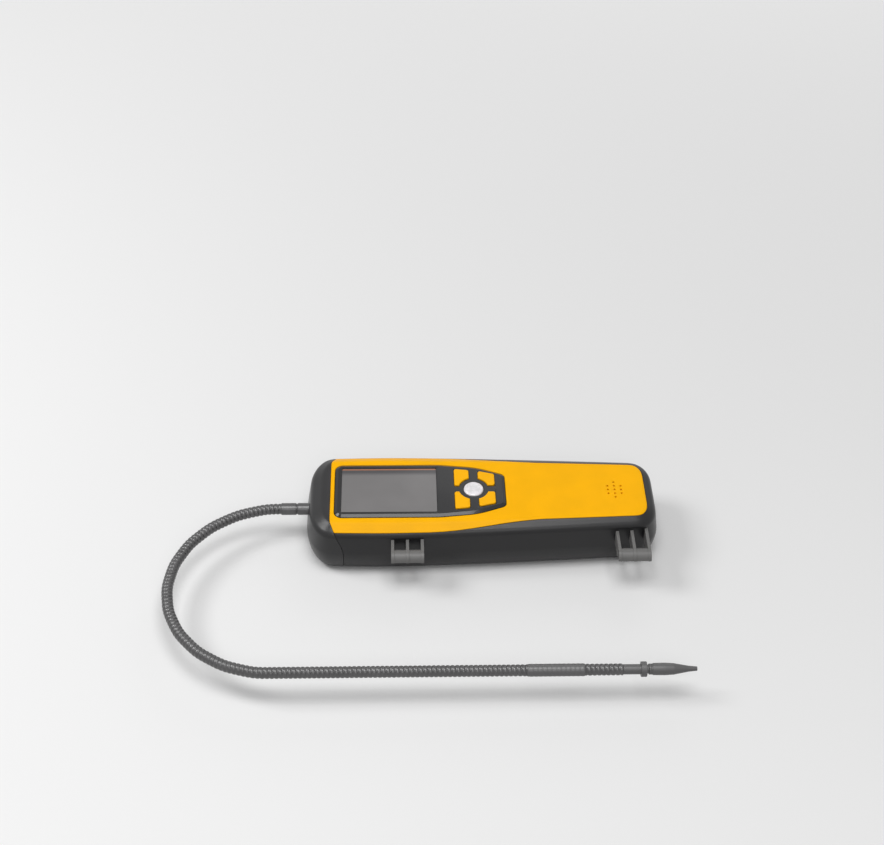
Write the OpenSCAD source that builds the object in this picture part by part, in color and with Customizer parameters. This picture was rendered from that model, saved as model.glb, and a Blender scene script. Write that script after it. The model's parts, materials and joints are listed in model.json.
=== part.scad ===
// Hand-held refrigerant leak detector with a flexible sampling probe, lying on its back.
// X runs from the nose (-) to the tail (+), the face looks along +Z and the back rests on Z = 0.

/* [Housing] */
// length of the housing, nose to tail
body_len = 204; // [196:1:216]
// greatest width, beside the display
head_w = 67; // [64:0.5:72]
// width of the grip at the tail
tail_w = 54; // [52:0.5:58]
// thickness, back to face
body_t = 34; // [33:0.5:37]
// height of the widest line above the back
waist_z = 16; // [14:0.5:18]
// how far the sides lean in from the widest line to the shoulder
side_lean = 1; // [0.6:0.1:1.4]
// width of the sloping shoulder beside the display
head_shoulder = 7.4; // [6.6:0.1:8]
// width of the sloping shoulder at the grip
tail_shoulder = 5.5; // [5:0.1:6.4]
// fall of the shoulder for each millimetre outwards
shoulder_fall = 0.5; // [0.4:0.02:0.6]
// rounding between the side and the shoulder
shoulder_r = 3; // [2:0.25:4]
// how far the edge of the back comes in
back_edge = 7; // [6:0.25:8]
// wall of the lower case, measured from the widest line
case_wall = 5.5; // [5:0.25:6]
// thickness of the floor of the case
floor_t = 2.5; // [2:0.25:3]
// thickness of the face cover
cover_t = 2.8; // [2.5:0.1:3.2]
// how far the cover's skirt comes down beside the display
skirt_head = 3.1; // [2.8:0.1:3.4]
// how far the cover's skirt comes down at the grip
skirt_tail = 0.35; // [0.3:0.05:0.6]
// length of the nose cap along the face
nose_len = 13.5; // [12:0.5:15]

/* [Display and keys] */
// length of the window insert
win_len = 99; // [96:0.5:102]
// height of the window insert beside the display
win_h = 42.8; // [41.4:0.2:44.4]
// how far the insert stands above the face, and the rounding of its rim
win_rise = 1; // [0.7:0.1:1.3]
// length of the display lens
lcd_len = 55.2; // [52:0.1:58]
// height of the display lens
lcd_h = 35.6; // [34:0.2:37]
// how far the lens lies below the rim of the insert
lens_sink = 0.4; // [0.2:0.1:0.6]
// diameter of the round centre key
key_dia = 11.5; // [10.5:0.1:12.5]
// how far the keys stand above the insert
key_rise = 0.85; // [0.7:0.05:1.2]
// travel of each key
key_travel = 0.6; // [0.4:0.1:0.7]
// gap round each key
key_gap = 0.1; // [0.08:0.01:0.15]
// width of the black ring round the centre key
key_ring = 2.95; // [2.5:0.05:3.2]

/* [Probe] */
// height of the probe's axis above the back
neck_z = 19.5; // [18:0.5:21]
// outside diameter over the ribs of the gooseneck
neck_dia = 6.3; // [5.8:0.1:6.8]
// diameter of the air passage in the gooseneck
neck_bore = 2.6; // [2.2:0.1:3]
// length of one link between two bends
link_len = 17.33; // [16.5:0.01:18]
// ribs on one link
link_ribs = 6; // [5:1:7]
// straight length from the nose to the first bend
lead_len = 24; // [22:0.5:27]
// length of the ferrule at the nose
ferrule_len = 16.5; // [15:0.1:18]
// length of the ribbed run after the last bend
run_len = 144; // [130:1:160]
// length of the plain sleeve
sleeve_len = 31; // [28:0.5:34]
// length of the ribbed end after the sleeve
end_len = 20; // [18:0.5:22]
// length of the tip with its fine nozzle
tip_len = 24.4; // [22:0.2:28]

/* [Clips and fixings] */
// length of each probe clip
clip_len = 18.6; // [17:0.2:21]
// radius of the seat in a clip
clip_seat = 3.2; // [3:0.05:3.5]
// distance of the clip's seat beyond the widest line of the housing
clip_reach = 8.35; // [7.5:0.05:9.5]
// height of the clip's seat above the back
clip_z = 22.5; // [21.5:0.1:23]
// thickness of each rib of a clip
clip_rib = 1.8; // [1.4:0.1:2.2]
// radius of a case screw
screw_r = 1.5; // [1.2:0.1:1.7]
// diameter of the rechargeable cell
cell_dia = 18.4; // [18:0.1:18.6]

/* [Hidden] */
$fn = 48;

yellow = [0.96, 0.68, 0.06];
dark = [0.2, 0.2, 0.21];
black = [0.08, 0.08, 0.085];
grey = [0.45, 0.45, 0.46];
steel = [0.72, 0.73, 0.75];
green = [0.1, 0.35, 0.2];

nose_x = -body_len / 2;
tail_x = body_len / 2;
cover_z = body_t - cover_t;
ledge_z = cover_z - 2.7;
window_lip = 1.5;
rim_gap = 1.1;
rim_in = head_w / 2 - win_h / 2 - window_lip - rim_gap;

// a polygon with rounded corners, drawn with short steps
function unit(v) = v / norm(v);
function turn(a) = a > 180 ? a - 360 : a < -180 ? a + 360 : a;
function corner(a, b, c, r, n) =
    let (u = unit(a - b), v = unit(c - b), h = acos(u * v) / 2, m = b + unit(u + v) * r / sin(h),
        p = b + u * r / tan(h) - m, q = b + v * r / tan(h) - m,
        s = atan2(p[1], p[0]), t = turn(atan2(q[1], q[0]) - s))
    [for (i = [0:n]) m + r * [cos(s + t * i / n), sin(s + t * i / n)]];
function rounded(pts, r, n = 6) = [for (i = [0:len(pts) - 1])
    each corner(pts[(i + len(pts) - 1) % len(pts)], pts[i], pts[(i + 1) % len(pts)], r, n)];
function box_pts(x0, x1, y0, y1) = [[x0, y0], [x1, y0], [x1, y1], [x0, y1]];

// plan outline: a taper from head to grip with elliptic corners at both ends
nose_cx = 15;
nose_cy = 22;
tail_cx = 14;
tail_cy = 15;
corner_n = 7;
side_n = 13;
function taper(u) = u > -0.26 ? 1 - pow((u + 0.26) / 0.69, 1.35)
    : 1 - 0.12 * pow((-0.26 - u) / 0.18, 2);
function half_w(x) = tail_w / 2 + (head_w - tail_w) / 2 * taper(x / body_len);
function nose_corner(a) = [nose_x + nose_cx * (1 - cos(a)),
    half_w(nose_x + nose_cx) - nose_cy * (1 - sin(a))];
function tail_corner(a) = [tail_x - tail_cx * (1 - sin(a)),
    half_w(tail_x - tail_cx) - tail_cy * (1 - cos(a))];
function side_x(i) = nose_x + nose_cx + (body_len - nose_cx - tail_cx) * i / side_n;
half_line = concat(
    [for (i = [0:corner_n]) nose_corner(90 * i / corner_n)],
    [for (i = [1:side_n - 1]) [side_x(i), half_w(side_x(i))]],
    [for (i = [0:corner_n]) tail_corner(90 * i / corner_n)]);
half_n = len(half_line);
plan = concat(half_line, [for (i = [half_n - 1:-1:0]) [half_line[i][0], -half_line[i][1]]]);
plan_n = 2 * half_n;
function step(i) = plan[(i + 1) % plan_n] - plan[(i + plan_n - 1) % plan_n];
function inward(i) = [step(i)[1], -step(i)[0]] / norm(step(i));
plan_in = [for (i = [0:plan_n - 1]) inward(i)];
function clamp1(v) = min(1, max(0, v));
end_lean = 1.2;
function lean(i) = side_lean + end_lean * pow(plan_in[i][0], 2);
function slope(i) = tail_shoulder + (head_shoulder - tail_shoulder) * clamp1(taper(plan[i][0] / body_len));
function inset_plan(d) = [for (i = [0:plan_n - 1]) plan[i] + plan_in[i] * d];
function face_plan(d) = [for (i = [0:plan_n - 1]) plan[i] + plan_in[i] * (lean(i) + slope(i) + d)];

// housing surface: a section for each point of the plan, from the back up the side and over the shoulder
back_a = [-90, -70, -50, -32, -15, 0];
face_r = 6;
function section(i) =
    let (waist = [0, waist_z], crease = [lean(i), body_t - shoulder_fall * slope(i)],
        edge = [lean(i) + slope(i), body_t])
    concat([for (a = back_a) [back_edge * (1 - cos(a)), waist_z * (1 + sin(a))]],
        corner(waist, crease, edge, shoulder_r, 4), corner(crease, edge, edge + [face_r, 0], face_r, 2));
sections = [for (i = [0:plan_n - 1]) section(i)];
ring_n = len(sections[0]);
body_pts = [for (j = [0:ring_n - 1]) for (i = [0:plan_n - 1])
    let (p = plan[i] + plan_in[i] * sections[i][j][0]) [p[0], p[1], sections[i][j][1]]];
function at(j, i) = j * plan_n + (i % plan_n);
side_faces = [for (j = [0:ring_n - 2]) for (i = [0:plan_n - 1]) for (h = [0, 1])
    h == 0 ? [at(j, i), at(j, i + 1), at(j + 1, i + 1)] : [at(j, i), at(j + 1, i + 1), at(j + 1, i)]];
top_j = ring_n - 1;
cap_faces = [for (k = [0:half_n - 2]) for (h = [0, 1])
    h == 0 ? [at(top_j, k), at(top_j, k + 1), at(top_j, plan_n - 2 - k)]
    : [at(top_j, k), at(top_j, plan_n - 2 - k), at(top_j, plan_n - 1 - k)]];
back_faces = [for (k = [0:half_n - 2]) for (h = [0, 1])
    h == 0 ? [at(0, k), at(0, plan_n - 2 - k), at(0, k + 1)]
    : [at(0, k), at(0, plan_n - 1 - k), at(0, plan_n - 2 - k)]];
module housing() {
    polyhedron(points = body_pts, faces = concat(side_faces, cap_faces, back_faces), convexity = 6);
}

// parting lines: the cover's skirt rises from head to grip, and the nose cap is swept back
function smooth(t) = clamp1(t) * clamp1(t) * (3 - 2 * clamp1(t));
rise_x = -32;
rise_len = 68;
function part_z(x) = body_t - skirt_head + (skirt_head - skirt_tail) * smooth((x - rise_x) / rise_len);
module along_y() {
    rotate([90, 0, 0])
        linear_extrude(height = 2 * head_w, center = true)
            children();
}
module above_parting() {
    along_y()
        polygon(concat(
            [[-body_len, part_z(-body_len)]],
            [for (k = [0:8]) let (x = rise_x + rise_len * k / 8) [x, part_z(x)]],
            [[body_len, part_z(body_len)], [body_len, body_t + 9], [-body_len, body_t + 9]]));
}
seam_x = nose_x + nose_len;
module nose_zone() {
    along_y()
        polygon([[2 * nose_x, -9], [seam_x + 8, -9], [seam_x + 8, waist_z], [seam_x + 7, waist_z + 5],
            [seam_x + 2.3, body_t - 3.5], [seam_x, body_t], [seam_x - 6, body_t + 9],
            [2 * nose_x, body_t + 9]]);
}
module slab(z0, z1) {
    translate([0, 0, z0])
        linear_extrude(height = z1 - z0)
            children();
}
module hollow() {
    slab(floor_t, ledge_z) polygon(inset_plan(case_wall));
    slab(ledge_z - 1, cover_z) polygon(inset_plan(rim_in));
}

// window insert, display and keys
win_x0 = seam_x + 2.8;
win_x1 = win_x0 + win_len;
win_z = body_t + win_rise;
lens_t = 1;
lens_z = win_z - lens_sink - lens_t;
frame_z = cover_z - 1.4;
key_x = win_x1 - 18.5;
lcd_x0 = win_x0 + 3.9;
function window_pts(d) = rounded([[win_x0 - d, -win_h / 2 - d], [key_x - 20, -win_h / 2 - d],
    [key_x + 2, -win_h / 2 + 2.4 - d], [win_x1 + d, -win_h / 2 + 8.6 - d],
    [win_x1 + d, win_h / 2 - 8.6 + d], [key_x + 2, win_h / 2 - 2.4 + d],
    [key_x - 20, win_h / 2 + d], [win_x0 - d, win_h / 2 + d]], 3.6 + d);
module lcd_outline(d) {
    polygon(rounded(box_pts(lcd_x0 - d, lcd_x0 + lcd_len + d, -lcd_h / 2 - d, lcd_h / 2 + d),
        1 + max(0, d), 4));
}
// quarter keys: inner and outer side, near edge, and reach at the inner and at the outer side
left_key = [2.5, 11.1, 2.5, 15.2, 16.2];
right_key = [2.8, 12.4, 2.6, 14.3, 11.9];
key_corner = 0.9;
// sx, sy pick the quarter; d widens the outline
module quarter_key(sx, sy, d) {
    k = sx < 0 ? left_key : right_key;
    translate([key_x, 0])
        difference() {
            polygon(rounded([[sx * (k[0] - d), sy * (k[2] - d)], [sx * (k[1] + d), sy * (k[2] - d)],
                [sx * (k[1] + d), sy * (k[4] + d)], [sx * (k[0] - d), sy * (k[3] + d)]],
                key_corner + max(0, d), 4));
            circle(r = key_dia / 2 + key_ring - d);
        }
}
key_top = win_z + key_rise;
stem_x = 7.2;
stem_y = 9.5;
flange_z = frame_z - 1.25;
switch_z = flange_z - 1.2 - key_travel - 0.3;
board_z = switch_z - 4;
module quarter_key_solid(sx, sy) {
    slab(frame_z - 0.05, key_top) quarter_key(sx, sy, -key_gap);
    slab(flange_z, frame_z - 0.05) quarter_key(sx, sy, 0.7);
    translate([key_x + sx * stem_x, sy * stem_y, flange_z - 1.2]) cylinder(r = 1.6, h = 1.4);
}
switch_at = [[-stem_x, -stem_y], [-stem_x, stem_y], [stem_x, -stem_y], [stem_x, stem_y], [0, 0]];

// fixings
head_screw = [seam_x + 22.5, 25.5];
tail_screw = [tail_x - 36, 14.5];
case_screw_at = [for (s = [-1, 1]) each [[head_screw[0], s * head_screw[1]],
    [tail_screw[0], s * tail_screw[1]]]];
column_z = 24;
column_r = 3.7;
screw_recess = 3;
screw_z = 4.5;
board_x0 = seam_x + 10;
board_x1 = tail_x - 7.5;
board_step = tail_x - 54;
board_hw = 20.5;
board_t = 1.6;
port_hw = 5.6;
port_hh = 3.2;
socket_hw = 4.5;
socket_hh = 1.7;
function socket_pts(d) = rounded(box_pts(d - socket_hw, socket_hw - d, d - socket_hh, socket_hh - d),
    socket_hh - d - 0.1, 5);
port_z = board_z + board_t + socket_hh;

// inner works: the cell beside the air path of inlet hose, gas cell, link hose and pump
cell_y = 11.5;
cell_len = 64;
cell_x0 = board_x0 + 20;
cell_z = floor_t + cell_dia / 2;
pump_in = 80.5;
pump_x0 = tail_x - pump_in;
pump_len = 12;
motor_r = 9;
motor_len = 24;
link_gap = 20;
gas_x0 = board_x0 + 16;
gas_len = pump_x0 - link_gap - gas_x0;
gas_h = 15;
gas_z = floor_t + gas_h / 2;
air_r = 0.9;
nipple_len = 6;
board_screw_y = 18;
board_screw_gap = 8;
board_screw_at = [[board_x0 + 5, -board_screw_y], [pump_x0 - board_screw_gap, -board_screw_y],
    [board_x0 + 5, board_screw_y], [cell_x0 + cell_len + board_screw_gap, board_screw_y]];
motor_z = floor_t + motor_r;
hose_r = 2.7;
nipple_r = 1.6;
horn_in = 25;
horn_x = tail_x - horn_in;

// probe geometry
neck_r = neck_dia / 2;
ball_r = neck_r - 0.2;
socket_r = ball_r + 0.05;
rib_p = link_len / (link_ribs + 1);
hinges = 11;
bend = 180 / hinges;
ferrule_r = neck_r + 0.35;
groove_s = 6.5;
stud_r = 2.4;
seat_in = 1.2;
root_x = nose_x + seat_in;
hinge0 = [nose_x - lead_len + 0.5, 0];
function heading(k) = 180 + bend * k;
function hinge_at(k) = k == 0 ? hinge0
    : hinge_at(k - 1) + link_len * [cos(heading(k)), sin(heading(k))];
module place(k) {
    translate([hinge_at(k - 1)[0], hinge_at(k - 1)[1], neck_z])
        rotate([0, 0, heading(k)])
            children();
}
module on_axis() {
    rotate([0, 90, 0])
        rotate_extrude()
            children();
}
// rib outline from s0: each rib runs flat, falls to a valley and rises again
function ribs(s0, n, p) = [for (i = [0:n - 1]) each [[neck_r, s0 + i * p], [neck_r, s0 + (i + 0.4) * p],
    [neck_r - 0.5, s0 + (i + 0.7) * p]]];
// a ribbed length with a socket at its start, for the ball of the length before it
rim_s = 1.1;
module ribbed_link(len, n, ball) {
    p = (len - rim_s - 0.9) / n;
    on_axis()
        difference() {
            union() {
                polygon(concat([[0, rim_s]], ribs(rim_s, n, p), [[neck_r - 0.5, len], [0, len]]));
                if (ball) translate([0, len]) circle(r = ball_r);
            }
            circle(r = socket_r);
            translate([neck_bore / 2 - 40, -20]) square([40, len + 40]);
        }
}
module neck_link(k) {
    color(black) place(k) ribbed_link(link_len, link_ribs, true);
}
run_at = hinge_at(hinges - 1);
module on_run(s) {
    translate([run_at[0] + s, run_at[1], neck_z])
        children();
}
sleeve_s = run_len;
end_s = run_len + sleeve_len;
adapter_s = end_s + end_len;
adapter_len = 15.3;
tip_s = adapter_s + adapter_len;

module front_panel() {
    color(yellow)
        difference() {
            union() {
                intersection() {
                    housing();
                    above_parting();
                }
                slab(cover_z, body_t - 0.1) polygon(face_plan(0.8));
                for (c = case_screw_at)
                    translate([c[0], c[1], column_z + 0.1])
                        cylinder(r = column_r - 0.3, h = cover_z - column_z);
            }
            nose_zone();
            slab(cover_z - 9, body_t + 1) polygon(window_pts(0));
            slab(body_t - skirt_head - 1, cover_z) polygon(window_pts(window_lip + 0.1));
            for (c = case_screw_at)
                translate([c[0], c[1], column_z - 1]) cylinder(r = screw_r, h = 6.5);
            for (c = [-1:1])
                for (r = [-2 + abs(c):2 - abs(c)])
                    translate([horn_x + 3.85 * c, 3 * r, cover_z - 1]) cylinder(r = 0.55, h = cover_t + 2);
        }
}

module rear_case() {
    color(dark)
        difference() {
            union() {
                difference() {
                    housing();
                    above_parting();
                    nose_zone();
                    hollow();
                    slab(cover_z, body_t + 1) polygon(face_plan(0.8));
                    for (c = case_screw_at)
                        translate([c[0], c[1], column_z]) cylinder(r = column_r, h = 12);
                    clip_pockets(front_clip_x);
                    clip_pockets(rear_clip_x);
                    port();
                }
                for (c = case_screw_at)
                    translate([c[0], c[1], 1]) cylinder(r = column_r, h = column_z - 1);
                for (c = board_screw_at)
                    translate([c[0], c[1], 1]) cylinder(r = 3, h = board_z - 1);
                for (x = [cell_x0 + 8, cell_x0 + cell_len - 12])
                    saddle(x, cell_y, cell_dia / 2, cell_z);
                saddle(pump_x0 + pump_len + motor_len / 2, -cell_y, motor_r, motor_z);
            }
            for (c = case_screw_at) {
                translate([c[0], c[1], -1]) cylinder(r = screw_r + 0.2, h = column_z + 2);
                translate([c[0], c[1], -1]) cylinder(r = screw_recess, h = screw_z + 1);
            }
            for (c = board_screw_at)
                translate([c[0], c[1], board_z - 7]) cylinder(r = 1.1, h = 9);
        }
}
module saddle(x, y, r, z) {
    difference() {
        translate([x, y - 7, 1]) cube([3, 14, z - 4]);
        translate([x - 1, y, z]) rotate([0, 90, 0]) cylinder(r = r, h = 5);
    }
}
module port() {
    translate([tail_x - 12, 0, port_z])
        rotate([90, 0, 90])
            linear_extrude(height = 20)
                polygon(rounded(box_pts(-port_hw, port_hw, -port_hh, port_hh), port_hh - 0.2, 6));
}

module nose_cap() {
    color(black)
        difference() {
            intersection() {
                housing();
                nose_zone();
            }
            hollow();
            translate([nose_x - 9, 0, neck_z]) rotate([0, 90, 0]) cylinder(r = stud_r, h = 20);
            translate([root_x - 10, 0, neck_z]) rotate([0, 90, 0]) cylinder(r = 5, h = 10);
        }
}

// the part of the insert above the face, with a quarter-round rim
module window_rim() {
    hull()
        for (a = [0:22.5:90])
            slab(body_t - 0.1, body_t + win_rise * sin(a) + 0.01 * cos(a))
                polygon(window_pts(-win_rise * (1 - cos(a))));
}
module window_frame() {
    color(black)
        difference() {
            union() {
                slab(frame_z, body_t) polygon(window_pts(0));
                slab(frame_z, cover_z) polygon(window_pts(window_lip));
                window_rim();
            }
            slab(lens_z, win_z + 1) lcd_outline(0);
            slab(frame_z - 1, win_z) lcd_outline(-1.5);
            for (sx = [-1, 1])
                for (sy = [-1, 1])
                    slab(frame_z - 1, win_z + 1) quarter_key(sx, sy, 0);
            translate([key_x, 0, frame_z - 1]) cylinder(r = key_dia / 2 + key_gap, h = 9);
        }
}
module display_lens() {
    color(grey) slab(lens_z, lens_z + lens_t) lcd_outline(0);
}
module display_panel() {
    color(steel)
        translate([lcd_x0 - 2, -lcd_h / 2 - 2, frame_z - 3]) cube([lcd_len + 4, lcd_h + 4, 3]);
}
module key_top_left() {
    color(yellow) quarter_key_solid(-1, 1);
}
module key_top_right() {
    color(yellow) quarter_key_solid(1, 1);
}
module key_bottom_left() {
    color(yellow) quarter_key_solid(-1, -1);
}
module key_bottom_right() {
    color(yellow) quarter_key_solid(1, -1);
}
module centre_key() {
    r = key_dia / 2;
    color(steel)
        translate([key_x, 0, 0]) {
            intersection() {
                translate([0, 0, frame_z - 0.05]) cylinder(r = r, h = key_top + 0.5 - frame_z);
                translate([0, 0, key_top + 0.4 - 2.2 * r]) sphere(r = 2.2 * r);
            }
            translate([0, 0, flange_z]) cylinder(r = r + 0.4, h = frame_z - 0.05 - flange_z);
            translate([0, 0, flange_z - 1.2]) cylinder(r = 1.6, h = 1.4);
        }
}
module key_switches() {
    color(black)
        for (s = switch_at)
            translate([key_x + s[0], s[1], board_z + board_t]) {
                translate([-3, -3, 0]) cube([6, 6, 1.8]);
                cylinder(r = 1.7, h = switch_z - board_z - board_t);
            }
}
module main_board() {
    color(green)
        difference() {
            slab(board_z, board_z + board_t)
                polygon([[board_x0, -board_hw], [board_step, -board_hw], [board_step, -10], [board_x1, -10],
                    [board_x1, 10], [board_step, 10], [board_step, board_hw], [board_x0, board_hw]]);
            for (c = board_screw_at)
                translate([c[0], c[1], board_z - 1]) cylinder(r = 1.3, h = 4);
        }
}
module board_screws() {
    color(steel)
        for (c = board_screw_at)
            translate([c[0], c[1], board_z + board_t]) {
                cylinder(r = 2.2, h = 1.5);
                translate([0, 0, -7]) cylinder(r = 1.1, h = 7.5);
            }
}
module case_screws() {
    color(steel)
        for (c = case_screw_at)
            translate([c[0], c[1], screw_z]) {
                difference() {
                    translate([0, 0, -2.2]) cylinder(r = screw_recess - 0.3, h = 2.2);
                    translate([0, 0, -2.8]) cube([3.6, 0.8, 2.4], center = true);
                    translate([0, 0, -2.8]) cube([0.8, 3.6, 2.4], center = true);
                }
                translate([0, 0, -0.5]) cylinder(r = screw_r, h = 24);
            }
}
module sounder() {
    color(black)
        translate([horn_x, 0, cover_z - 5.4]) {
            difference() {
                cylinder(r = 8.8, h = 5.4);
                translate([0, 0, 3.6]) cylinder(r = 7.4, h = 3);
            }
            translate([0, 0, -1.4]) cylinder(r = 4, h = 1.6);
        }
}
module usb_socket() {
    color(steel)
        translate([board_x1 - 8.4, 0, port_z])
            rotate([90, 0, 90])
                difference() {
                    linear_extrude(height = 8.6)
                        polygon(socket_pts(0));
                    translate([0, 0, 2])
                        linear_extrude(height = 9)
                            polygon(socket_pts(0.4));
                }
}
module battery() {
    color([0.15, 0.3, 0.6])
        translate([cell_x0, cell_y, cell_z])
            rotate([0, 90, 0]) {
                cylinder(r = cell_dia / 2, h = cell_len);
                cylinder(r = 3, h = cell_len + 1);
            }
}
module gas_cell() {
    color(grey)
        difference() {
            union() {
                translate([gas_x0, -cell_y - 8, floor_t]) cube([gas_len, 16, gas_h]);
                translate([gas_x0 - nipple_len, -cell_y, gas_z])
                    rotate([0, 90, 0]) cylinder(r = nipple_r, h = gas_len + 2 * nipple_len);
            }
            translate([gas_x0 - nipple_len - 1, -cell_y, gas_z])
                rotate([0, 90, 0]) cylinder(r = air_r, h = gas_len + 2 * nipple_len + 2);
            translate([gas_x0 + 3, -cell_y, gas_z]) rotate([0, 90, 0]) cylinder(r = 5.5, h = gas_len - 6);
        }
}
module pump_head() {
    color(black)
        difference() {
            union() {
                translate([pump_x0, -cell_y - motor_r, floor_t]) cube([pump_len, 2 * motor_r, 17]);
                translate([pump_x0 - nipple_len, -cell_y, gas_z])
                    rotate([0, 90, 0]) cylinder(r = nipple_r, h = nipple_len + 1);
                translate([pump_x0 + pump_len / 2, -cell_y + motor_r - 1, gas_z + 4])
                    rotate([-90, 0, 0]) cylinder(r = nipple_r, h = nipple_len);
            }
            translate([pump_x0 - nipple_len - 1, -cell_y, gas_z])
                rotate([0, 90, 0]) cylinder(r = air_r, h = nipple_len + pump_len / 2);
            translate([pump_x0 + pump_len / 2, -cell_y, gas_z + 4])
                rotate([-90, 0, 0]) cylinder(r = air_r, h = motor_r + nipple_len + 1);
        }
}
module pump_motor() {
    color(steel)
        translate([pump_x0 + pump_len, -cell_y, motor_z])
            rotate([0, 90, 0]) {
                cylinder(r = motor_r, h = motor_len);
                translate([0, 0, motor_len]) cylinder(r = 3, h = 2);
            }
}
// inlet hose: a straight end, two quarter bends in a sloping plane and a straight end
drop = norm([cell_y, neck_z - gas_z]);
hose_x = nose_x + 18;
module hose_wall() {
    difference() {
        circle(r = hose_r);
        circle(r = nipple_r);
    }
}
module hose_bend() {
    rotate_extrude(angle = 90)
        translate([drop / 2, 0])
            hose_wall();
}
module hose_straight(len) {
    rotate([90, 0, 90])
        linear_extrude(height = len)
            hose_wall();
}
module inlet_hose() {
    color(grey)
        translate([hose_x, 0, neck_z])
            rotate([atan2(gas_z - neck_z, -cell_y), 0, 0]) {
                translate([-nipple_len, 0, 0]) hose_straight(nipple_len);
                translate([0, drop / 2, 0]) rotate([0, 0, -90]) hose_bend();
                translate([drop, drop / 2, 0]) rotate([0, 0, 90]) hose_bend();
                translate([drop, drop, 0]) hose_straight(gas_x0 - 0.5 - hose_x - drop);
            }
}
module link_hose() {
    color(grey)
        translate([gas_x0 + gas_len + 0.5, -cell_y, gas_z])
            rotate([0, 90, 0])
                difference() {
                    cylinder(r = hose_r, h = link_gap - 1);
                    translate([0, 0, -1]) cylinder(r = nipple_r, h = link_gap + 2);
                }
}

clip_y = head_w / 2 + clip_reach;
front_clip_in = 48.8;
rear_clip_in = 26.6;
front_clip_x = nose_x + front_clip_in;
rear_clip_x = tail_x - rear_clip_in;
clip_shell = clip_seat + 1.2;
clip_crest = clip_shell + 0.35;
arm_low = -2.9;
rib_at = [for (s = [0, 0.5, 1]) s * (clip_len - clip_rib)];
function clip_root(x) = half_w(x + clip_len / 2) - 4.2;
module clip_pockets(x) {
    for (s = rib_at)
        translate([x + s, -clip_y, clip_z + arm_low])
            cube([clip_rib, clip_y - clip_root(x), clip_crest - arm_low]);
}
// the seat, and the mouth through which the probe snaps in from below
module clip_mouth() {
    circle(r = clip_seat);
    polygon([[0, 0], [-12, 0], [-12, -12], [12 * tan(40), -12]]);
}
module clip(x) {
    color(grey)
        translate([x, -clip_y, clip_z])
            rotate([90, 0, 90]) {
                linear_extrude(height = clip_len)
                    difference() {
                        circle(r = clip_shell);
                        clip_mouth();
                    }
                for (s = rib_at)
                    translate([0, 0, s])
                        linear_extrude(height = clip_rib)
                            difference() {
                                union() {
                                    circle(r = clip_crest);
                                    translate([0, arm_low])
                                        square([clip_y - clip_root(x), clip_crest - arm_low]);
                                }
                                clip_mouth();
                            }
            }
}
module front_clip() {
    clip(front_clip_x);
}
module rear_clip() {
    clip(rear_clip_x);
}

module neck_ferrule() {
    color(black)
        translate([root_x, 0, neck_z])
            rotate([0, -90, 0])
                difference() {
                    union() {
                        rotate_extrude()
                            polygon([[0, 0], [ferrule_r, 0], [ferrule_r, groove_s],
                                [ferrule_r - 0.3, groove_s + 0.3], [ferrule_r - 0.3, groove_s + 1],
                                [ferrule_r, groove_s + 1.3], [ferrule_r, ferrule_len - 0.4],
                                [ferrule_r - 0.4, ferrule_len], [0, ferrule_len]]);
                        translate([0, 0, -9.5]) cylinder(r = stud_r, h = 10);
                        translate([0, 0, root_x - hose_x + 0.5]) cylinder(r = nipple_r, h = 8);
                    }
                    translate([0, 0, -18]) cylinder(r = air_r, h = 20);
                    translate([0, 0, 1]) cylinder(r = neck_bore / 2, h = ferrule_len + 9);
                }
}
module neck_lock_nut() {
    color(steel)
        translate([nose_x + case_wall, 0, neck_z])
            rotate([0, 90, 0])
                difference() {
                    cylinder(r = 4.6, h = 3, $fn = 6);
                    translate([0, 0, -1]) cylinder(r = stud_r, h = 5);
                }
}
module neck_root() {
    s1 = lead_len + seat_in - 0.5 - ferrule_len;
    color(black)
        translate([root_x - ferrule_len, 0, neck_z])
            rotate([0, 0, 180])
                on_axis()
                    difference() {
                        union() {
                            polygon(concat([[0, 0]], ribs(0, 3, (s1 - 0.9) / 3),
                                [[neck_r - 0.5, s1], [0, s1]]));
                            translate([0, s1]) circle(r = ball_r);
                        }
                        translate([neck_bore / 2 - 40, -20]) square([40, s1 + 40]);
                    }
}
module neck_link_1() {
    neck_link(1);
}
module neck_link_2() {
    neck_link(2);
}
module neck_link_3() {
    neck_link(3);
}
module neck_link_4() {
    neck_link(4);
}
module neck_link_5() {
    neck_link(5);
}
module neck_link_6() {
    neck_link(6);
}
module neck_link_7() {
    neck_link(7);
}
module neck_link_8() {
    neck_link(8);
}
module neck_link_9() {
    neck_link(9);
}
module neck_link_10() {
    neck_link(10);
}
module neck_run() {
    n = round((run_len - 2) / rib_p);
    color(black) on_run(0) ribbed_link(run_len, n, false);
}
module neck_sleeve() {
    color(black)
        on_run(sleeve_s)
            difference() {
                on_axis()
                    polygon([[0, 0], [neck_r, 0], [neck_r + 0.25, 0.3], [neck_r + 0.25, sleeve_len - 0.3],
                        [neck_r, sleeve_len], [0, sleeve_len]]);
                rotate([0, 90, 0]) translate([0, 0, -1]) cylinder(r = neck_bore / 2, h = sleeve_len + 2);
            }
}
module neck_end() {
    n = round(end_len / rib_p);
    color(black)
        on_run(end_s)
            on_axis()
                difference() {
                    polygon(concat([[0, 0]], ribs(0, n, end_len / n),
                        [[neck_r - 0.5, end_len], [0, end_len]]));
                    translate([neck_bore / 2 - 40, -20]) square([40, end_len + 40]);
                }
}
module tip_adapter() {
    color(black)
        on_run(adapter_s)
            difference() {
                on_axis() polygon([[0, 0], [2.7, 0], [2.7, 9.7], [4.1, 9.7], [4.1, 12.7], [2.9, 12.7],
                    [2.9, adapter_len], [0, adapter_len]]);
                rotate([0, 90, 0]) translate([0, 0, -1]) cylinder(r = neck_bore / 2, h = adapter_len + 2);
            }
}
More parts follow.
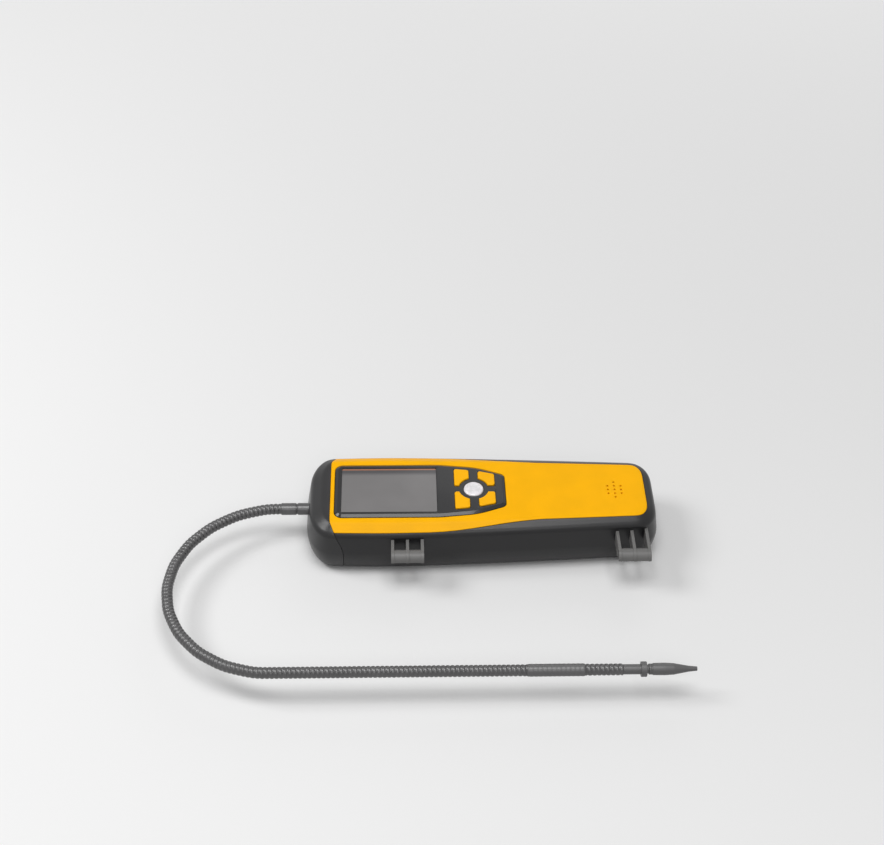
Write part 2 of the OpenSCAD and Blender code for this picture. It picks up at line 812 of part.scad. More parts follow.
module tip_filter() {
    color([0.85, 0.85, 0.83])
        on_run(tip_s + 0.5)
            rotate([0, 90, 0]) cylinder(r = 1.9, h = 8);
}
module tip_nozzle() {
    s = tip_len - 12.6;
    color(black)
        on_run(tip_s)
            difference() {
                on_axis() polygon([[0, 0], [2.9, 0], [2.9, 0.5], [3.2, 0.9], [3.3, s * 0.6], [3.05, s],
                    [2.3, s + 4.2], [1.6, s + 8], [1.15, tip_len], [0, tip_len]]);
                rotate([0, 90, 0]) cylinder(r = 1.9, h = 9.5);
                rotate([0, 90, 0]) translate([0, 0, -1]) cylinder(r = 0.6, h = tip_len + 2);
            }
}

front_panel();
rear_case();
nose_cap();
window_frame();
display_lens();
display_panel();
key_top_left();
key_top_right();
key_bottom_left();
key_bottom_right();
centre_key();
key_switches();
main_board();
board_screws();
case_screws();
sounder();
usb_socket();
battery();
gas_cell();
pump_head();
pump_motor();
inlet_hose();
link_hose();
front_clip();
rear_clip();
neck_ferrule();
neck_lock_nut();
neck_root();
neck_link_1();
neck_link_2();
neck_link_3();
neck_link_4();
neck_link_5();
neck_link_6();
neck_link_7();
neck_link_8();
neck_link_9();
neck_link_10();
neck_run();
neck_sleeve();
neck_end();
tip_adapter();
tip_filter();
tip_nozzle();
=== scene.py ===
import json
import math

import bpy
import numpy as np
from bpy.props import FloatProperty, FloatVectorProperty, IntProperty, PointerProperty
from mathutils import Matrix, Vector
from mathutils.geometry import delaunay_2d_cdt


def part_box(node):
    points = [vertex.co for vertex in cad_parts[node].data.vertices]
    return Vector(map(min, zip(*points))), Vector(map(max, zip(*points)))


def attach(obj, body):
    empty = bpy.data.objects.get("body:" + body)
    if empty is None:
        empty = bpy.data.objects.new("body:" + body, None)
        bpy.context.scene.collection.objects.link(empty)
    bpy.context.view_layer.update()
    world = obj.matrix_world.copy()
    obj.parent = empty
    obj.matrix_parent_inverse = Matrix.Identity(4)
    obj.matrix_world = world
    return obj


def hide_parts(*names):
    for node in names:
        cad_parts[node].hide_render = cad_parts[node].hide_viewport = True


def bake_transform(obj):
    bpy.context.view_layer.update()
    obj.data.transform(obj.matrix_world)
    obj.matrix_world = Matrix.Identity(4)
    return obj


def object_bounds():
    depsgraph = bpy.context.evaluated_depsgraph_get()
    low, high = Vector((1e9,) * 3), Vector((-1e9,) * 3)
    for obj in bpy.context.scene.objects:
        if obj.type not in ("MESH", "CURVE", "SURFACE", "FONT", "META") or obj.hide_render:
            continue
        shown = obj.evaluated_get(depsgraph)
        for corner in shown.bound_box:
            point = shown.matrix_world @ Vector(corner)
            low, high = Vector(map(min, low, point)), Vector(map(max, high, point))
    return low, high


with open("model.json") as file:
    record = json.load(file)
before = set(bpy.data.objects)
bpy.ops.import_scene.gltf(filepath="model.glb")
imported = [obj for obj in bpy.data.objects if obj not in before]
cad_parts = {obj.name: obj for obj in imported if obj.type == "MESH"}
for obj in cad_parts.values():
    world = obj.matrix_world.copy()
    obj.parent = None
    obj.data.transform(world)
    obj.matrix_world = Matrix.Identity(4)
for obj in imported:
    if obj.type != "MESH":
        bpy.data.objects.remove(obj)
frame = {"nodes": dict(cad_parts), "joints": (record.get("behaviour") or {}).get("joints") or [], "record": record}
CAD_LOW, CAD_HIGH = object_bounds()

bl_info = {
    "name": "Leak detector",
    "version": (1, 0, 0),
    "blender": (4, 5, 0),
    "location": "3D View > Sidebar > Detector",
    "description": "Moulded shells, keypad, ribbed probe and finishes of a hand-held leak detector",
    "category": "Object",
}

MM = 0.001
# Edges sharper than these stay sharp, on moulded pieces and on the wound gooseneck
SHARP_EDGE = math.radians(38)
SHARP_RIB = math.radians(75)
PHOTO_WIDTH, PHOTO_HEIGHT = 884, 845
HINGES = [np.array(j["pos_m"]) for j in frame["joints"] if j["type"] == "hinge"]


def low(node):
    """Lowest corner of a solid at rest."""
    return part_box(node)[0]


def high(node):
    """Highest corner of a solid at rest."""
    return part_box(node)[1]


def span(node, axis):
    """Size of a solid at rest along one axis."""
    return getattr(high(node), axis) - getattr(low(node), axis)


def middle(node, axis):
    """Middle of a solid at rest along one axis."""
    return (getattr(low(node), axis) + getattr(high(node), axis)) / 2


def number(name, description, default, **kind):
    """A number that a user may change."""
    return FloatProperty(name=name, description=description, default=default, **kind)


def size(name, description, default):
    """A length that a user may change."""
    return number(name, description, default, unit="LENGTH", precision=5)


def angle(name, description, degrees):
    """An angle that a user may change."""
    return number(name, description, math.radians(degrees), subtype="ANGLE")


def power(name, description, default):
    """A lamp's power that a user may change."""
    return number(name, description, default, unit="POWER")


def colour(name, description, default):
    """A colour that a user may change."""
    return FloatVectorProperty(name=name, description=description, default=default, size=3, min=0, max=1,
                               subtype="COLOR")


class HousingSizes(bpy.types.PropertyGroup):
    """Sizes of the moulded housing."""

    head_width: size("Head width", "Greatest width, beside the display", span("rear_case", "y"))
    tail_width: size("Grip width", "Width of the grip at the tail", 54 * MM)
    thickness: size("Thickness", "Back to face", high("front_panel").z)
    waist: size("Waist height", "Height of the widest line above the back", 16 * MM)
    side_lean: size("Side lean", "How far the side comes in from the waist to the crease", 1 * MM)
    end_lean: size("End lean", "How much more the nose and the tail come in", 1.2 * MM)
    head_shoulder: size("Head shoulder", "Width of the sloping shoulder at the head", 7.4 * MM)
    tail_shoulder: size("Grip shoulder", "Width of the sloping shoulder at the grip", 5.5 * MM)
    shoulder_fall: number("Shoulder fall", "Fall of the shoulder for its width", 0.57)
    crease_radius: size("Crease radius", "Rounding between side and shoulder", 5 * MM)
    brow_radius: size("Brow radius", "Rounding between shoulder and face", 6 * MM)
    back_edge: size("Back edge", "How far the edge of the back comes in", 7 * MM)
    skirt_head: size("Head skirt", "How far the cover comes down beside the display", 3.3 * MM)
    skirt_tail: size("Grip skirt", "How far the cover comes down at the grip", 0.35 * MM)
    nose_length: size("Nose length", "Length of the nose cap along the face", 13.5 * MM)
    wall: size("Wall", "Thickness of the shells", 2 * MM)
    seam_gap: size("Seam gap", "Width of the dark line between two shells", 0.16 * MM)
    edge_radius: size("Edge radius", "Rounding of the shells' edges", 0.28 * MM)
    screw_recess: size("Screw recess", "Radius of the recess of a case screw", 3 * MM)


class KeypadSizes(bpy.types.PropertyGroup):
    """Sizes of the window insert, the display and the keys."""

    rim_rise: size("Rim rise", "How far the insert stands out of the face",
                   high("window_frame").z - high("front_panel").z)
    rim_width: size("Rim width", "Width of the insert's sloping rim", 1.8 * MM)
    window_gap: size("Insert gap", "Gap between the cover and the insert", 0.12 * MM)
    key_gap: size("Key gap", "Gap round each key", 0.16 * MM)
    key_edge: size("Key edge", "Rounding of a key's top edge", 0.45 * MM)
    dome_radius: size("Dome radius", "Radius of the round centre key", 5.75 * MM)
    ring_width: size("Ring width", "Width of the black ring round the centre key", 2.95 * MM)


class ProbeSizes(bpy.types.PropertyGroup):
    """Sizes of the gooseneck and its tip."""

    rib_pitch: size("Rib pitch", "Distance from one turn of the gooseneck to the next", 2.476 * MM)
    rib_depth: size("Rib depth", "Depth of the groove between two turns", 0.55 * MM)
    rib_steps: IntProperty(name="Rib steps", description="Rings of points along one turn", default=12, min=6)
    sides: IntProperty(name="Sides", description="Points round the gooseneck", default=44, min=12)


class FinishColours(bpy.types.PropertyGroup):
    """Colours of the finishes."""

    cover: colour("Cover", "Yellow face cover and keys", (0.93, 0.44, 0.0))
    case: colour("Case", "Dark lower case", (0.012, 0.0117, 0.0125))
    nose: colour("Nose", "Nose cap", (0.014, 0.0137, 0.0145))
    insert: colour("Insert", "Window insert", (0.012, 0.012, 0.013))
    screen: colour("Screen", "Switched-off screen", (0.150, 0.144, 0.144))
    pearl: colour("Centre key", "Pearl silver key", (0.80, 0.78, 0.79))
    clip: colour("Clips", "Grey probe clips", (0.12, 0.118, 0.115))
    neck: colour("Gooseneck", "Coated gooseneck and ferrule", (0.038, 0.0365, 0.038))
    sleeve: colour("Sleeve", "Smooth sleeve and tip", (0.065, 0.0635, 0.065))
    floor: colour("Floor", "Pale studio floor", (0.80, 0.80, 0.80))


class StageSettings(bpy.types.PropertyGroup):
    """Camera and light."""

    elevation: angle("Elevation", "Camera above the horizon", 42.5)
    yaw: angle("Yaw", "Turn of the view about the vertical", 2.5)
    roll: angle("Roll", "Tilt of the horizon", -1.4)
    focal_pixels: number("Focal length", "Focal length in pixels of the picture", 1550)
    distance: size("Distance", "Camera to the middle of the face", 0.9)
    face_pixel: FloatVectorProperty(name="Face pixel", size=2, default=(482.5, 490.2),
                                    description="Where the middle of the face lies in the picture")
    key_power: power("Key light", "Power of the soft light overhead", 5.8)
    side_power: power("Side light", "Power of the light from the left", 5.4)
    front_power: power("Front light", "Power of the light from the front", 2.0)
    rim_power: power("Rim light", "Power of the light from behind", 1.0)
    sky: number("Sky", "Strength of the even light all round", 0.24)
    backdrop: number("Backdrop", "Tone of the far floor and of the backdrop", 0.80)
    pool_radius: size("Pool radius", "How far from the object the lamps light the floor", 1.45)


class DetectorSettings(bpy.types.PropertyGroup):
    """All settings of the detector's looks."""

    housing: PointerProperty(type=HousingSizes)
    keypad: PointerProperty(type=KeypadSizes)
    probe: PointerProperty(type=ProbeSizes)
    finish: PointerProperty(type=FinishColours)
    stage: PointerProperty(type=StageSettings)


def settings():
    """The settings kept on the scene."""
    return bpy.context.scene.detector


# Shader expressions

class Wire:
    """An output socket of a shader tree. Arithmetic on wires adds Math nodes."""

    def __init__(self, tree, socket=None):
        self.tree = tree
        self.socket = socket

    def make(self, kind, options=None, inputs=None, out=0):
        """Adds a node: options are set first, then socket values or links; gives the wire of one output."""
        node = self.tree.nodes.new(kind)
        for key, value in (options or {}).items():
            if key == "stops":
                ramp = node.color_ramp.elements
                while len(ramp) < len(value):
                    ramp.new(1.0)
                for stop, (place, shade) in zip(ramp, value):
                    stop.position = place
                    stop.color = (*shade, 1.0)
            else:
                setattr(node, key, value)
        for key, value in (inputs or {}).items():
            if isinstance(value, Wire):
                self.tree.links.new(value.socket, node.inputs[key])
            else:
                node.inputs[key].default_value = value
        return Wire(self.tree, node.outputs[out])

    def _math(self, operation, first, second):
        """A Math node on two values."""
        return self.make("ShaderNodeMath", {"operation": operation}, {0: first, 1: second})

    def __add__(self, other):
        return self._math("ADD", self, other)

    __radd__ = __add__

    def __sub__(self, other):
        return self._math("SUBTRACT", self, other)

    def __rsub__(self, other):
        return self._math("SUBTRACT", other, self)

    def __mul__(self, other):
        return self._math("MULTIPLY", self, other)

    __rmul__ = __mul__

    def __pow__(self, other):
        return self._math("POWER", self, other)

    def between(self, start, end):
        """Smooth step of this value from start to end."""
        return self.make("ShaderNodeMapRange", {"interpolation_type": "SMOOTHSTEP"},
                         {"Value": self, "From Min": start, "From Max": end})

    def tint(self, first, second):
        """Mix of two colours with this wire as the factor."""
        ends = {6: first if isinstance(first, Wire) else (*first, 1.0),
                7: second if isinstance(second, Wire) else (*second, 1.0)}
        return self.make("ShaderNodeMix", {"data_type": "RGBA"}, {0: self, **ends}, out=2)

    def stretched(self, factors):
        """This vector times three factors."""
        return self.make("ShaderNodeVectorMath", {"operation": "MULTIPLY"}, {0: self, 1: factors})


class Finish:
    """A material under construction: the place on the piece in metres, noises and the surface shader."""

    def __init__(self, name):
        self.material = bpy.data.materials.new(name)
        self.material.use_nodes = True
        self.tree = self.material.node_tree
        self.shader = next(n for n in self.tree.nodes if n.type == "BSDF_PRINCIPLED")
        self.place = Wire(self.tree).make("ShaderNodeTexCoord", out="Object")

    def noise(self, grain, detail=2.0, rough=0.5, place=None):
        """Noise whose blotches are about grain metres across."""
        return self.place.make("ShaderNodeTexNoise", None,
                               {"Vector": place or self.place, "Scale": 1 / grain, "Detail": detail,
                                "Roughness": rough})

    def cells(self, grain):
        """Distance to the nearest of scattered points about grain metres apart."""
        return self.place.make("ShaderNodeTexVoronoi", None, {"Vector": self.place, "Scale": 1 / grain})

    def bump(self, height, depth, strength=1.0):
        """Normal of a surface raised by height times depth metres."""
        return self.place.make("ShaderNodeBump", None,
                               {"Strength": strength, "Distance": depth, "Height": height})

    def surface(self, **values):
        """Sets the shader's sockets, named with underscores for spaces."""
        for key, value in values.items():
            socket = self.shader.inputs[key.replace("_", " ")]
            if isinstance(value, Wire):
                self.tree.links.new(value.socket, socket)
            elif socket.type == "RGBA":
                socket.default_value = (*value, 1.0)
            else:
                socket.default_value = value
        return self.material


def shade(tone, factor):
    """A colour times a factor."""
    return tuple(min(1.0, part * factor) for part in tone)


def moulded_plastic(name, tone, rough, grain, depth, scuff=0.12, specular=0.5):
    """Injection-moulded plastic: spark-eroded grain, a soft mottle and faint handling marks."""
    f = Finish(name)
    mottle = f.noise(18 * MM, 3)
    pebble = f.cells(grain)
    fine = f.noise(grain * 0.5, 2)
    streaks = f.noise(2.2 * MM, 3, 0.6, f.place.stretched((0.16, 1.0, 1.0)))
    marks = streaks.between(0.60, 0.74) * mottle.between(0.42, 0.62)
    base = mottle.between(0.3, 0.7).tint(shade(tone, 0.96), shade(tone, 1.03))
    speckled = (fine.between(0.35, 0.75) * 0.5).tint(base, shade(tone, 1.16))
    worn = (marks * scuff).tint(speckled, shade(tone, 1.7))
    height = pebble.between(0.0, 0.75) * 0.7 + fine * 0.5
    return f.surface(Base_Color=worn,
                     Roughness=rough - 0.05 + mottle * 0.08 + fine * 0.06 + marks * 0.1,
                     Specular_IOR_Level=specular,
                     Normal=f.bump(height, depth, 0.6))


def glossy_insert(name, tone):
    """Polished black plastic with hairline marks and a faint waviness of its shine."""
    f = Finish(name)
    wave = f.noise(14 * MM, 2)
    hair = f.noise(0.8 * MM, 3, 0.7, f.place.stretched((0.05, 1.0, 1.0)))
    lines = hair.between(0.66, 0.76)
    return f.surface(Base_Color=(lines * 0.25).tint(tone, shade(tone, 2.2)),
                     Roughness=0.16 + wave * 0.08 + lines * 0.12,
                     Coat_Weight=0.2, Coat_Roughness=0.06, Specular_IOR_Level=0.33,
                     Normal=f.bump(wave, 0.02 * MM, 0.3))


def dark_screen(name, tone):
    """A switched-off screen behind clear plastic: the dot grid is faint, the far edge has painted shade, and a
    thin orange line along it is a painted reflection of the yellow cover.
    """
    f = Finish(name)
    cloud = f.noise(22 * MM, 2)
    dot_pitch = 1.5 * MM
    columns, rows = (f.place.make("ShaderNodeTexWave", {"wave_type": "BANDS", "bands_direction": axis},
                                  {"Vector": f.place, "Scale": 1 / dot_pitch}) for axis in "XY")
    dots = columns * rows
    along = f.place.make("ShaderNodeSeparateXYZ", None, {0: f.place}, out="Y")
    edge = high("display_lens").y
    # Painted shade: the screen's colour darkens towards its far edge, where the insert's rim shades it
    far = along.between(edge - 6.4 * MM, edge - 2.6 * MM)
    # Painted reflection: a thin orange line near the far edge stands for the yellow cover mirrored in the screen
    reflection_start = along.between(edge - 1.5 * MM, edge - 1.1 * MM)
    reflection_end = along.between(edge - 0.5 * MM, edge - 0.25 * MM)
    line = reflection_start * (1 - reflection_end)
    # Colours of the painted shadow and of the painted orange reflection
    shadow, orange_reflection = (0.02, 0.018, 0.022), (0.42, 0.15, 0.06)
    grey = cloud.between(0.3, 0.7).tint(shade(tone, 0.95), shade(tone, 1.05))
    dotted = (dots * 0.18).tint(grey, shade(tone, 0.72))
    shaded = (far * 0.85).tint(dotted, shadow)
    return f.surface(Base_Color=(line * 0.8).tint(shaded, orange_reflection),
                     Roughness=0.32 + cloud * 0.06,
                     Coat_Weight=0.45, Coat_Roughness=0.08,
                     Normal=f.bump(cloud, 0.015 * MM, 0.3))


def pearl_plastic(name, tone):
    """Silver paint with a pearl flake and a soft clear coat."""
    f = Finish(name)
    flake = f.cells(0.55 * MM)
    cloud = f.noise(2.6 * MM, 3)
    glint = (tone[0] * 1.12, tone[1] * 1.09, tone[2] * 1.12)
    warm = cloud.between(0.35, 0.65).tint(shade(tone, 0.86), glint)
    return f.surface(Base_Color=(flake.between(0.2, 0.6) * 0.35).tint(warm, shade(tone, 0.72)),
                     Metallic=0.1, Roughness=0.3 + flake * 0.15,
                     Coat_Weight=0.5, Coat_Roughness=0.1,
                     Normal=f.bump(flake, 0.03 * MM, 0.35))


def coated_wire(name, tone, rough):
    """Black coated wire: a satin skin, rubbed a little brighter in scattered patches."""
    f = Finish(name)
    cloud = f.noise(9 * MM, 3)
    fine = f.noise(0.35 * MM, 2)
    rubbed = cloud.between(0.52, 0.72) * fine.between(0.4, 0.7)
    base = cloud.between(0.3, 0.7).tint(shade(tone, 0.85), shade(tone, 1.12))
    return f.surface(Base_Color=(rubbed * 0.4).tint(base, shade(tone, 2.1)),
                     Roughness=rough + fine * 0.1 - rubbed * 0.05,
                     Specular_IOR_Level=1.0,
                     Normal=f.bump(fine, 0.03 * MM, 0.5))


def plain_metal(name, tone, rough):
    """Plated or drawn metal with fine lines along the part."""
    f = Finish(name)
    drawn = f.noise(0.5 * MM, 3, 0.6, f.place.stretched((0.06, 1.0, 1.0)))
    cloud = f.noise(6 * MM, 2)
    return f.surface(Base_Color=cloud.between(0.3, 0.7).tint(shade(tone, 0.88), shade(tone, 1.05)),
                     Metallic=0.95, Roughness=rough + drawn * 0.16,
                     Normal=f.bump(drawn, 0.02 * MM, 0.4))


def circuit_board(name, tone):
    """Solder mask with faint tracks under it."""
    f = Finish(name)
    tracks = f.place.make("ShaderNodeTexBrick", {"offset": 0.5},
                          {"Vector": f.place, "Scale": 1 / (6 * MM), "Mortar Size": 0.06}, out="Fac")
    cloud = f.noise(5 * MM, 2)
    return f.surface(Base_Color=(tracks * 0.5).tint(cloud.tint(shade(tone, 0.9), tone), shade(tone, 1.8)),
                     Roughness=0.3 + cloud * 0.12,
                     Normal=f.bump(tracks, 0.04 * MM, 0.5))


def soft_wad(name, tone):
    """Fibrous filter wad or soft hose."""
    f = Finish(name)
    fibre = f.noise(0.4 * MM, 4, 0.7)
    return f.surface(Base_Color=fibre.between(0.3, 0.7).tint(shade(tone, 0.8), tone),
                     Roughness=0.7 + fibre * 0.2,
                     Normal=f.bump(fibre, 0.08 * MM, 0.7))


# Mesh building

class Surface:
    """An open skin of points and faces, which thicken() turns into a closed solid."""

    def __init__(self):
        self.points = []
        self.faces = []

    def add(self, points):
        """Keeps points and gives their numbers."""
        start = len(self.points)
        self.points.extend(np.asarray(points, float).tolist())
        return list(range(start, len(self.points)))

    def grid(self, rows):
        """A sheet of quads; rows run upwards and columns clockwise seen from above.
        Gives the numbers of the points by row."""
        numbers = [self.add(row) for row in rows]
        for under, over in zip(numbers, numbers[1:]):
            for k in range(len(under) - 1):
                self.faces.append((under[k], over[k], over[k + 1], under[k + 1]))
        return numbers

    def band(self, rings):
        """Quads between closed rings of point numbers, from the outermost to the innermost."""
        for outer, inner in zip(rings, rings[1:]):
            for k in range(len(outer)):
                m = (k + 1) % len(outer)
                self.faces.append((outer[k], outer[m], inner[m], inner[k]))

    def fill(self, loops, spacing, up=True):
        """Triangles on one level inside the first loop and outside the others, given as point numbers."""
        flat = [np.array([self.points[n][:2] for n in loop]) for loop in loops]
        level = self.points[loops[0][0]][2]
        inner = scattered_inside(flat, spacing)
        numbers = [n for loop in loops for n in loop] + self.add(at_level(inner, level))
        edges = []
        start = 0
        for loop in loops:
            edges += [(start + k, start + (k + 1) % len(loop)) for k in range(len(loop))]
            start += len(loop)
        spots = np.vstack([*flat, inner])
        made, _, faces, origin, _, _ = delaunay_2d_cdt([tuple(p) for p in spots], edges, [], 0, 1e-9)
        if len(made) != len(spots):
            raise ValueError("outlines of a flat face cross each other")
        middles = np.array([np.mean([made[v] for v in face], axis=0) for face in faces])
        for face, keep in zip(faces, inside(middles, flat)):
            if keep:
                ring = [numbers[origin[v][0]] for v in face]
                self.faces.append(tuple(ring if up else ring[::-1]))


def inside(spots, loops):
    """Even-odd test of points against closed outlines."""
    hits = np.zeros(len(spots), int)
    for loop in loops:
        for (x0, y0), (x1, y1) in zip(loop, np.roll(loop, -1, 0)):
            if y0 == y1:
                continue
            crosses = (y0 > spots[:, 1]) != (y1 > spots[:, 1])
            hits += crosses & (spots[:, 0] < (x1 - x0) * (spots[:, 1] - y0) / (y1 - y0) + x0)
    return hits % 2 == 1


def scattered_inside(loops, spacing):
    """Even spots inside the outlines and clear of their edges."""
    corner, far = loops[0].min(0), loops[0].max(0)
    clear = spacing * 0.4
    xs = np.arange(corner[0] + spacing / 2, far[0], spacing)
    ys = np.arange(corner[1] + spacing / 2, far[1], spacing)
    spots = np.array([(x, y) for x in xs for y in ys]).reshape(-1, 2)
    spots = spots[inside(spots, loops)]
    edge = np.vstack(loops)
    gaps = np.array([np.min(np.sum((edge - p) ** 2, axis=1)) for p in spots])
    return spots[gaps > clear ** 2] if len(spots) else spots


def point_normals(points, faces):
    """Normals of points, weighted by the area of the faces round them."""
    total = np.zeros_like(points)
    for face in faces:
        ring = points[list(face)]
        area = np.sum(np.cross(ring - ring[0], np.roll(ring, -1, 0) - ring[0]), axis=0)
        for n in face:
            total[n] += area
    return total / np.maximum(np.linalg.norm(total, axis=1), 1e-15)[:, None]


def open_loops(faces):
    """The edges that only one face uses, in order, as loops of point numbers."""
    used = {(face[k], face[(k + 1) % len(face)]) for face in faces for k in range(len(face))}
    after = {a: b for a, b in used if (b, a) not in used}
    loops = []
    while after:
        start, spot = after.popitem()
        loop = [start]
        while spot != start:
            loop.append(spot)
            spot = after.pop(spot)
        loops.append(loop)
    return sorted(loops, key=min)


def outward(spots, normal):
    """Directions out of a loop along its skin, longer at a corner, so that both its sides move out evenly."""
    shortest = 0.8
    ahead = np.roll(spots, -1, 0) - spots
    ahead /= np.linalg.norm(ahead, axis=1)[:, None]
    along = ahead + np.roll(ahead, 1, 0)
    lengths = np.maximum(np.linalg.norm(along, axis=1), shortest)
    return np.cross(along / lengths[:, None], normal) * (2 / lengths)[:, None]


def thicken(surface, wall, radius, steps=4, both=False):
    """Closed solid from a skin: it grows inwards by wall, and its outer edges, or both edges, are rounded.
    radius is a length or a function of a loop's points; the rounding stands outside the skin's edge."""
    points = np.array(surface.points)
    normals = point_normals(points, surface.faces)
    count = len(points)
    solid = points.tolist() + (points - normals * wall).tolist()
    faces = list(surface.faces) + [tuple(n + count for n in reversed(face)) for face in surface.faces]
    turns = [math.radians(90 * k / steps) for k in range(1, steps + 1)]
    for loop in open_loops(surface.faces):
        spots, normal = points[loop], normals[loop]
        out = outward(spots, normal)
        r = radius(spots) if callable(radius) else radius
        top = [(r * (1 - math.cos(turn)), r * math.sin(turn)) for turn in turns]
        foot = [(wall - depth, reach) for depth, reach in reversed(top)] if both else [(wall, r)]
        numbers = [loop]
        for depth, reach in top + foot:
            numbers.append(list(range(len(solid), len(solid) + len(loop))))
            solid.extend((spots - normal * depth + out * reach).tolist())
        numbers.append([n + count for n in loop])
        for near, away in zip(numbers, numbers[1:]):
            for k in range(len(loop)):
                m = (k + 1) % len(loop)
                faces.append((near[m], near[k], away[k], away[m]))
    return solid, faces


def corner_arc(before, at, after, radius, steps):
    """Points of the round that replaces one corner of an outline; it takes up to half of the shorter side."""
    nearly_straight, share = math.radians(89.5), 0.49
    to_before, to_after = before - at, after - at
    long_before, long_after = np.linalg.norm(to_before), np.linalg.norm(to_after)
    u, v = to_before / long_before, to_after / long_after
    half = math.acos(max(-1.0, min(1.0, float(u @ v)))) / 2
    if half > nearly_straight:
        return [at]
    reach = min(radius / math.tan(half), share * long_before, share * long_after)
    radius = reach * math.tan(half)
    centre = at + (u + v) / np.linalg.norm(u + v) * radius / math.sin(half)
    first, last = at + u * reach - centre, at + v * reach - centre
    start = math.atan2(first[1], first[0])
    sweep = math.remainder(math.atan2(last[1], last[0]) - start, 2 * math.pi)
    turns = [start + sweep * k / steps for k in range(steps + 1)]
    return [centre + radius * np.array([math.cos(t), math.sin(t)]) for t in turns]


def rounded(corners, radius, steps=6):
    """A closed outline with its corners rounded, by one radius or by a list of them."""
    c = [np.array(p, float) for p in corners]
    radii = np.broadcast_to(radius, len(c))
    return np.array([p for k in range(len(c))
                     for p in corner_arc(c[k - 1], c[k], c[(k + 1) % len(c)], radii[k], steps)])


def widened(corners, margin):
    """Corners of an outline, run anticlockwise, whose sides all move out by a margin."""
    c = np.array(corners, float)
    ahead = np.roll(c, -1, 0) - c
    ahead /= np.linalg.norm(ahead, axis=1)[:, None]
    out = np.column_stack([ahead[:, 1], -ahead[:, 0]])
    before = np.roll(out, 1, 0)
    return c + (out + before) * (margin / (1 + np.sum(out * before, axis=1)))[:, None]


def softened(profile, radius, steps=3):
    """An open profile with its inner corners rounded."""
    c = [np.array(p, float) for p in profile]
    middle = [p for k in range(1, len(c) - 1) for p in corner_arc(c[k - 1], c[k], c[k + 1], radius, steps)]
    return np.array([c[0], *middle, c[-1]])


def circle(centre, radius, steps):
    """A closed round outline."""
    turns = np.linspace(0, 2 * math.pi, steps, endpoint=False)
    return np.column_stack([centre[0] + radius * np.cos(turns), centre[1] + radius * np.sin(turns)])


def at_level(outline, level):
    """A flat outline lifted to a height."""
    return np.column_stack([outline, np.full(len(outline), level)])


def plate(outline, level, spacing):
    """A flat skin inside one outline."""
    surface = Surface()
    surface.fill([surface.add(at_level(outline, level))], spacing)
    return surface


def distance_along(points):
    """Distance of each point of a line from its first, along the line."""
    return np.concatenate([[0], np.cumsum(np.linalg.norm(np.diff(points, axis=0), axis=1))])


def turned(profile, steps=64):
    """A solid turned about its own X axis from (distance, radius) pairs that start and end on the axis."""
    points, rings, faces = [], [], []
    for place, radius in profile:
        if radius < 1e-7:
            rings.append([len(points)] * steps)
            points.append((place, 0.0, 0.0))
            continue
        rings.append(list(range(len(points), len(points) + steps)))
        points += [(place, radius * math.cos(t), radius * math.sin(t))
                   for t in np.linspace(0, 2 * math.pi, steps, endpoint=False)]
    for here, there in zip(rings, rings[1:]):
        for k in range(steps):
            m = (k + 1) % steps
            ring = [here[k], here[m], there[m], there[k]]
            faces.append(tuple(dict.fromkeys(ring)))
    return points, faces


def even_shading(obj, sharp=SHARP_EDGE):
    """Shades a piece smoothly, apart from its sharp edges."""
    obj.data.set_sharp_from_angle(angle=sharp)
    obj.modifiers.new("Even shading", "WEIGHTED_NORMAL").keep_sharp = True


def piece(name, solid, material, body, replaces=(), place=None, sharp=SHARP_EDGE):
    """A finished object that rides on a body, if one is given, and stands for solids."""
    points, faces = solid
    mesh = bpy.data.meshes.new(name)
    mesh.from_pydata([tuple(p) for p in points], [], faces)
    if place is not None:
        mesh.transform(place)
    mesh.validate()
    mesh.shade_smooth()
    mesh.materials.append(material)
    obj = bpy.data.objects.new(name, mesh)
    bpy.context.scene.collection.objects.link(obj)
    even_shading(obj, sharp)
    if body:
        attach(obj, body)
    if replaces:
        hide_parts(*replaces)
    return obj


def joined(solids):
    """Several solids as one list of points and faces."""
    points, faces = [], []
    for more, sides in solids:
        start = len(points)
        points.extend(more)
        faces.extend(tuple(n + start for n in side) for side in sides)
    return points, faces


# Housing

